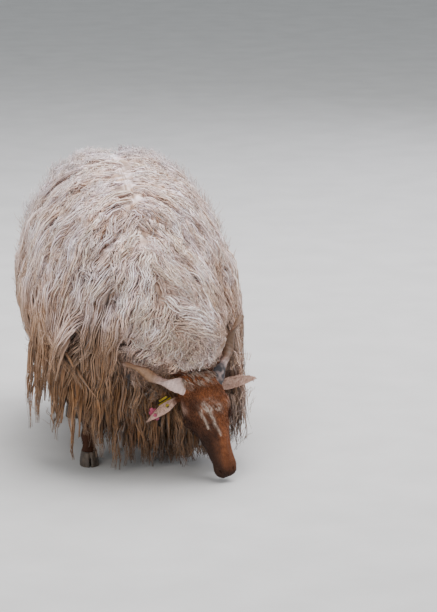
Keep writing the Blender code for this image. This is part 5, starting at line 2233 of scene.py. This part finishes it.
        # Painted shade on each tube's two inner edges and painted light on its outer ridge.
        tone = tone * np.array(self.edge_shade_and_ridge_light)[None, None, :, None]
        low = ease((0.32 - batch.middle[:, :, 2]) / 0.12)[:, :, None, None]
        tone = tone * (1 + 0.22 * low * np.clip(dice.normal(0, 1.0, (count, 1, 1, 1)), -1.6, 2.2))
        return tone.reshape(-1, 3)

    def mesh(self, region: Region, locks: list[Lock], frizz: int, dice: Dice) -> Piece:
        """Grows every strand of a region as one mesh of closed three-sided strands.

        Args:
            region: The region.
            locks: Its locks.
            frizz: How many loose curls stand out of it.
            dice: What makes the strands differ.

        Returns:
            The object, before its material.
        """
        strands = self.grow_strands(locks, dice)
        batches = [self.grow_cores(locks), strands, self.grow_frizz(strands, frizz, dice)]
        verts, faces, tones, fibres, uvs, offset = [], [], [], [], [], 0
        for batch in batches:
            batch = batch.only(self.clear_of_head(batch))
            tubes = self.tube(batch)
            count, levels = tubes.shape[:2]
            verts.append(tubes.reshape(-1, 3))
            faces.append(self.tube_faces(count, levels) + offset)
            offset += count * levels * 3
            tones.append(self.shades(batch, dice))
            fibre = np.empty((count, levels, 3, 3))
            fibre[..., 0] = np.array([0.0, 1.0, 0.5])
            fibre[..., 1] = batch.share[:, :, None]
            fibre[..., 2] = dice.uniform(size=(count, 1, 1))
            fibres.append(fibre.reshape(-1, 3))
            corner = np.array([[0.0, 0.0], [1.0, 0.0], [0.5, 1.0]]) * self.patch / 2
            climb = np.stack([np.zeros_like(batch.share), batch.share], 2)[:, :, None] * self.patch / 2
            uvs.append((batch.spot[:, None, None] + corner[None, None] + climb).reshape(-1, 2))
        verts, faces = self.held(np.concatenate(verts)), np.concatenate(faces)
        made = big_mesh(region.value, verts, faces)
        paint(made, "Wool", np.clip(np.concatenate(tones), 0.0, 1.0))
        paint(made, "Fibre", np.concatenate(fibres))
        unwrap(made, np.concatenate(uvs), faces.ravel())
        return made

    def held(self, verts: Array) -> Array:
        """Presses the few strands that stand furthest out back towards the coat's own outline.

        Args:
            verts: The strands' points.

        Returns:
            The points.
        """
        kept = 0.35
        verts = verts.copy()
        for axis, (low, high) in enumerate(self.room):
            row = verts[:, axis]
            row = np.where(row > high, high + (row - high) * kept, row)
            verts[:, axis] = np.where(row < low, low + (row - low) * kept, row)
        verts[:, 2] = np.maximum(verts[:, 2], self.ground)
        return verts

    def tube(self, batch: Batch) -> Array:
        """Three-sided tubes with their flat side to the body, in an array of strands by levels by 3 by 3."""
        flat = batch.middle - batch.out * batch.half * batch.flatness * 0.45
        ring = [flat + batch.aside * batch.half, flat - batch.aside * batch.half]
        return np.stack([*ring, batch.middle + batch.out * batch.half * batch.flatness], 2)

    def tube_faces(self, count: int, levels: int) -> Array:
        """The triangles of closed three-sided tubes.

        Args:
            count: How many tubes.
            levels: How many rings each has.

        Returns:
            One row for each triangle.
        """
        one = []
        for level in range(levels - 1):
            for i in range(3):
                j = (i + 1) % 3
                a, b = level * 3, level * 3 + 3
                one += [(a + i, a + j, b + j), (a + i, b + j, b + i)]
        end = (levels - 1) * 3
        one += [(0, 2, 1), (end, end + 1, end + 2)]
        return (np.array(one)[None] + (np.arange(count) * levels * 3)[:, None, None]).reshape(-1, 3)

    def make(self, finish: Material) -> None:
        """Every region of the fleece, in the wool's material."""
        back = ((5, 0.27), (25, 0.28), (45, 0.30))
        flank = ((66, 0.33), (82, 0.36), (98, 0.37), (114, 0.34))
        left, right, along = Side.LEFT, Side.RIGHT, self.neck_sections
        plans = (
            # region, its locks, their plan, loose curls
            (Region.LEFT_FLANK, self.torso_locks, (left, (*flank, (90, 0.41))), self.frizz),
            (Region.RIGHT_FLANK, self.torso_locks, (right, (*flank, (100, 0.33))), self.frizz),
            (Region.LEFT_BACK, self.torso_locks, (left, back), self.thick_frizz),
            (Region.RIGHT_BACK, self.torso_locks, (right, back), self.thick_frizz),
            (Region.RUMP, self.rump_locks, (44,), self.thick_frizz),
            (Region.TOPLINE, self.topline_locks, (66,), self.thick_frizz),
            (Region.LEFT_CREST, self.neck_locks, (left, (-8, 62), along, 60), self.frizz),
            (Region.RIGHT_CREST, self.neck_locks, (right, (-8, 62), along, 60), self.frizz),
            (Region.LEFT_NECK, self.neck_locks, (left, (56, 176), along, 66), self.frizz),
            (Region.RIGHT_NECK, self.neck_locks, (right, (56, 176), along, 62), self.frizz),
            (Region.LEFT_THROAT, self.neck_locks, (left, (48, 178), (2.5, 4.95), 46), self.frizz),
            (Region.RIGHT_THROAT, self.neck_locks, (right, (70, 178), (2.8, 4.95), 36), self.frizz),
            (Region.POLL, self.poll_locks, (54,), 440),
            (Region.TAIL, self.tail_locks, (13,), 120),
        )
        under = self.undercoat()
        wear(under, finish)
        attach(under, "root")
        for number, (region, grow, plan, curls) in enumerate(plans):
            dice = np.random.default_rng(self.seed + number)
            locks = [lock for lock in grow(dice, *plan) if lock]
            piece = self.mesh(region, locks, curls, dice)
            wear(piece, finish)
            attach(piece, "root")
            LOG.info("%s: %d locks, %d triangles", region.value, len(locks), len(piece.data.polygons))


# ---- the short coat ----


class Bare(Enum):
    """The parts of the skin that carry short tufts."""

    HEAD = "coat_head"
    LEGS = "coat_legs"


@dataclass
class ShortCoat:
    """Short tufts that break the skin's outline on the face, the ears and the legs."""

    skin: Piece
    skull: Skull
    ears: tuple
    horns: tuple
    markings_and_shade: MarkingsAndShade
    bed: BVHTree
    patch: float = 0.003
    seed: int = 17

    def surface(self) -> tuple[Array, Array, Array]:
        """The middles, normals and areas of the skin's triangles."""
        mesh = self.skin.data
        mesh.calc_loop_triangles()
        corners = np.empty(len(mesh.loop_triangles) * 3, np.int32)
        mesh.loop_triangles.foreach_get("vertices", corners)
        points = points_of(self.skin)[corners.reshape(-1, 3)]
        cross = np.cross(points[:, 1] - points[:, 0], points[:, 2] - points[:, 0])
        area = np.linalg.norm(cross, axis=1)
        return points, cross / np.maximum(area, 1e-12)[:, None], area / 2

    def density(self, part: Bare, middles: Array) -> Array:
        """How thickly tufts grow at each place.

        Args:
            part: Which part of the skin.
            middles: The places.

        Returns:
            A weight for each place, nothing where no tuft grows.
        """
        along, aside, front = self.skull.own(middles).T
        if part is Bare.LEGS:
            near_head = (along > 0) & (np.abs(aside) < 0.09) & (front > -0.10)
            return ((middles[:, 2] < 0.30) & ~near_head).astype(float)
        weight = ((along > -0.02) & (along < 0.262) & (np.abs(aside) < 0.17) & (front > -0.105)).astype(float)
        weight *= (np.abs(aside) < 0.06 + 0.12 * (along < 0.10)) & (along < 0.2600)
        weight *= np.where((np.abs(aside) > 0.060) & (along < 0.10), 0.15, 1.0)
        for side in Side:
            gap = np.linalg.norm(middles - np.array(self.skull.eye_centre(side)), axis=1)
            weight *= gap > self.skull.eye_radius + 0.0016
            spot = np.array(self.skull.sided(side, self.skull.nostril))
            weight *= np.linalg.norm(middles - spot, axis=1) > 0.0065
        for horn in self.horns:
            weight *= np.linalg.norm(off_bar(middles, horn.axis()), axis=1) > 0.015
        for i in np.nonzero((weight > 0) & (front < 0.012))[0]:
            if self.bed.find_nearest(Vector(middles[i]), 0.0020)[0]:
                weight[i] = 0.0
        return weight * (0.6 + 1.2 * ease((0.07 - along) / 0.04))

    def lie(self, part: Bare, roots: Array, normals: Array) -> tuple[Array, Array]:
        """The way the hair lies and its length.

        Args:
            part: Which part of the skin.
            roots: Where the tufts grow.
            normals: The skin's normals there.

        Returns:
            A way and a length for each tuft.
        """
        s = self.skull
        if part is Bare.LEGS:
            way = np.tile([0.0, 0.10, -1.0], (len(roots), 1))
            length = 0.0048 + 0.010 * ease((roots[:, 2] - 0.16) / 0.14)
            length += 0.004 * bell(roots[:, 2] - 0.062, 0.010)
        else:
            along, aside, front = s.own(roots).T
            way = np.tile(np.array(s.down), (len(roots), 1))
            way -= np.array(s.front) * (0.45 * ease((-front - 0.004) / 0.02))[:, None]
            length = 0.0062 - 0.0034 * ease((along - 0.12) / 0.10) + 0.012 * ease((0.050 - along) / 0.030)
            for ear in self.ears:
                root, tipward = (np.array(v) for v in ear.frame()[:2])
                on = ease(((roots - root) @ tipward - 0.006) / 0.010) * (aside * ear.side.value > 0.030)
                toward(way, tipward, on)
                length = np.where(on > 0.5, 0.0050, length)
        return unit(way - normals * (way * normals).sum(1, keepdims=True), 1e-6), length

    def grow(self, part: Bare, count: int, dice: Dice) -> Piece:
        """Grows the tufts of one part as one mesh.

        Args:
            part: Which part of the skin.
            count: How many tufts.
            dice: What places them.

        Returns:
            The object, before its material.
        """
        triangles, normals, area = self.surface()
        weight = area * self.density(part, triangles.mean(axis=1))
        pick = dice.choice(len(area), count, p=weight / weight.sum())
        bary = dice.dirichlet((1, 1, 1), count)
        roots = (triangles[pick] * bary[..., None]).sum(1)
        normal = normals[pick]
        way, length = self.lie(part, roots, normal)
        aside = np.cross(way, normal)
        way = way + aside * dice.normal(0, 0.16, (count, 1))
        length = (length * dice.uniform(0.65, 1.30, count))[:, None]
        wide = length * 0.13 + 0.00022
        rise = dice.uniform(0.16, 0.34, (count, 1))
        shaggy = ease((length - 0.010) / 0.006)
        base = roots - normal * 0.0004
        mid = roots + way * length * 0.5 + normal * length * rise * 0.75 + aside * shaggy * length * 0.12
        tip = roots + way * length + normal * length * rise * 0.65 - aside * shaggy * length * 0.10
        rings = []
        for middle, size in ((base, wide), (mid, wide * 0.9)):
            rings += [middle + aside * size, middle - aside * size, middle + normal * size * 0.55]
        verts = np.stack([*rings, tip], 1)
        sides = ((0, 1, 4), (0, 4, 3), (1, 2, 5), (1, 5, 4), (2, 0, 3), (2, 3, 5))
        shape = np.array((*sides, (0, 2, 1), (3, 4, 6), (4, 5, 6), (5, 3, 6)))
        faces = (shape[None] + (np.arange(count) * verts.shape[1])[:, None, None]).reshape(-1, 3)
        made = big_mesh(part.value, verts.reshape(-1, 3), faces)
        tone = self.markings_and_shade.colours(roots)[:, None] * dice.uniform(0.72, 1.22, (count, 1, 1))
        # Painted shade at each tuft's base and painted light at its tip.
        tone = tone * np.array([0.8, 0.8, 0.8, 1.0, 1.0, 1.0, 1.15])[None, :, None]
        paint(made, "Tuft", np.clip(tone.reshape(-1, 3), 0, 1))
        unwrap(made, self.patches(part, roots), faces.ravel())
        return made

    def patches(self, part: Bare, roots: Array) -> Array:
        """Lays each tuft out as a small patch on an unwrap of the skin's own shape.

        Args:
            part: Which part of the skin.
            roots: Where the tufts grow.

        Returns:
            One place for each point of the tufts.
        """
        if part is Bare.LEGS:
            u, v = np.zeros(len(roots)), np.zeros(len(roots))
            for i, leg in enumerate(LEGS):
                across, behind = roots[:, 0] - leg.x, roots[:, 1] - leg.y - 0.015
                mine = np.hypot(across, behind) < 0.09
                turn = np.arctan2(across, behind) / (2 * np.pi) + 0.5
                u = np.where(mine, (i + 0.04 + 0.9 * turn) / 4, u)
                v = np.where(mine, roots[:, 2] / 0.31, v)
        else:
            along, aside, front = self.skull.own(roots).T
            u = 0.04 + 0.92 * (np.arctan2(aside, front + 0.02) / (2 * np.pi) + 0.5)
            v = 0.04 + 0.92 * (along + 0.02) / 0.29
        spot = np.stack([u, v], 1)[:, None]
        corner = np.array([(0, 0), (1, 0), (0.5, 0.2), (0, 0.6), (1, 0.6), (0.5, 0.7), (0.5, 1)]) * self.patch
        return (spot + corner[None]).reshape(-1, 2)

    def make(self, finish: Material) -> None:
        """The tufts of every part, in their material."""
        dice = np.random.default_rng(self.seed)
        for part, count, slot in ((Bare.HEAD, 8500, "face"), (Bare.LEGS, 2000, "leg")):
            piece = self.grow(part, count, dice)
            wear(piece, finish)
            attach(piece, "root")


# ---- the studio ----


@dataclass
class Studio:
    """The photo's camera, a pale floor and soft daylight from above."""

    eye: Vector = field(default_factory=lambda: Vector((-0.7056, -6.7130, 1.87)))
    target: Vector = field(default_factory=lambda: Vector((0.2108, -0.1045, 0.3649)))
    lens: float = 2770 / 612 * 36
    sensor: float = 36.0
    floor: float = 30.0
    middle: Vector = field(default_factory=lambda: Vector((0.0, 0.0, 0.35)))
    sky: tuple = (0.86, 0.90, 0.95, 1.0)
    sky_strength: float = 0.50
    panels: tuple = (
        # name, place, side, watts, colour
        ("sky_panel", (0.6, 0.6, 4.2), 4.0, 346.0, (1.0, 0.97, 0.99)),
        ("front_panel", (-2.6, -4.6, 2.8), 3.0, 122.0, (1.0, 0.96, 0.94)),
        ("rear_panel", (2.6, 3.4, 2.6), 3.0, 72.0, (0.88, 0.88, 1.0)),
    )

    def face(self, made: Piece, spot: Vector, way: Vector) -> None:
        """Places a camera or lamp in the scene.

        Args:
            made: The camera or lamp.
            spot: Where it stands.
            way: Where it looks from there.
        """
        made.location = spot
        made.rotation_euler = way.to_track_quat("-Z", "Y").to_euler()
        bpy.context.scene.collection.objects.link(made)

    def camera(self) -> None:
        """Makes the camera the scene's own."""
        data = bpy.data.cameras.new("photo_camera")
        data.lens = self.lens
        data.sensor_width = self.sensor
        data.clip_end = 100.0
        made = bpy.data.objects.new("photo_camera", data)
        self.face(made, self.eye + SHIFT, self.target - self.eye)
        bpy.context.scene.camera = made

    def lamp(self, name: str, spot: tuple, size: float, watts: float, colour: tuple) -> Piece:
        """A square area lamp that faces the sheep.

        Args:
            name: Its name.
            spot: Where it hangs.
            size: Its side.
            watts: Its power.
            colour: Its colour.

        Returns:
            The lamp.
        """
        data = bpy.data.lights.new(name, "AREA")
        data.size, data.energy, data.color = size, watts, colour
        made = bpy.data.objects.new(name, data)
        self.face(made, Vector(spot), self.middle - Vector(spot))
        return made

    def make(self, finish: Material) -> None:
        """Sets up the floor in its material, the light and the camera."""
        bm = bmesh.new()
        bmesh.ops.create_grid(bm, x_segments=1, y_segments=1, size=self.floor)
        floor = moulded("floor", bm)
        wear(floor, finish)
        floor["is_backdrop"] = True
        lamps = [self.lamp(*panel) for panel in self.panels]
        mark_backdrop(*lamps)
        world = bpy.data.worlds.new("soft_sky")
        world.use_nodes = True
        sky = world.node_tree.nodes["Background"]
        sky.inputs["Color"].default_value = self.sky
        sky.inputs["Strength"].default_value = self.sky_strength
        bpy.context.scene.world = world
        self.camera()


def bed_of(body: Body) -> BVHTree:
    """A search tree in the drawn frame over the bare body, on which the fleece lies."""
    bed = combine(body.torso(), [body.neck(), body.tail()], "UNION")
    points = points_of(bed)
    faces = [tuple(p.vertices) for p in bed.data.polygons]
    tree = BVHTree.FromPolygons([Vector(p) for p in points], faces)
    bpy.data.objects.remove(bed)
    return tree


def main() -> None:
    """Builds the sheep piece by piece, then the studio."""
    logging.basicConfig(level=logging.INFO, format="%(message)s")
    skull, body = Skull(), Body()
    ears = (
        EarShape(skull, Side.LEFT, 0.120, 0.034, -0.03, 1.00, 0.06),
        EarShape(skull, Side.RIGHT, 0.104, 0.027, 0.25, 0.92, 0.30),
    )
    horns = (
        HornShape(skull, Side.LEFT, 0.140, 0.128, 0.020),
        HornShape(skull, Side.RIGHT, 0.104, 0.132, 0.020),
    )
    markings_and_shade = MarkingsAndShade(skull)
    skin = Skin(body, skull, ears).make(CoatFinish("skin_hair", "Marks").material(), markings_and_shade)
    LOG.info("skin: %d faces", len(skin.data.polygons))
    horn_finish = HornFinish().material()
    eye_finish = EyeFinish().material()
    hoof_finish = HoofFinish().material()
    for horn in horns:
        horn.make(horn_finish)
    for side in Side:
        Eyeball(skull, side).make(eye_finish)
    for leg in LEGS:
        Hoof(leg).make(hoof_finish)
    LOG.info("horns, eyes and hooves")
    yellow = TagFinish("yellow_plastic", (0.560, 0.400, 0.020), 0.0095)
    pink = TagFinish("pink_plastic", (0.560, 0.110, 0.190))
    EarTag(ears[1], "yellow", 0.40, 0.034, 0.040, 0.0045).make(yellow)
    EarTag(ears[1], "pink", 0.74, 0.020, 0.038, 0.0045).make(pink)
    LOG.info("ear tags")
    bed = bed_of(body)
    Fleece(body, skull, horns, ears, bed).make(WoolFinish().material())
    coat = ShortCoat(skin, skull, ears, horns, markings_and_shade, bed)
    coat.make(CoatFinish("tuft_hair", "Tuft").material())
    LOG.info("short coat")
    shown = [piece for piece in bpy.data.objects if piece.type == "MESH" and not piece.hide_render]
    LOG.info("triangles: %d", sum(len(p.vertices) - 2 for piece in shown for p in piece.data.polygons))
    Studio().make(FloorFinish().material())
    boxes = {"cad": CAD_BOX, "visual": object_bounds()}
    {key: [list(corner) for corner in box] for key, box in boxes.items()}


if __name__ == "__main__":
    main()
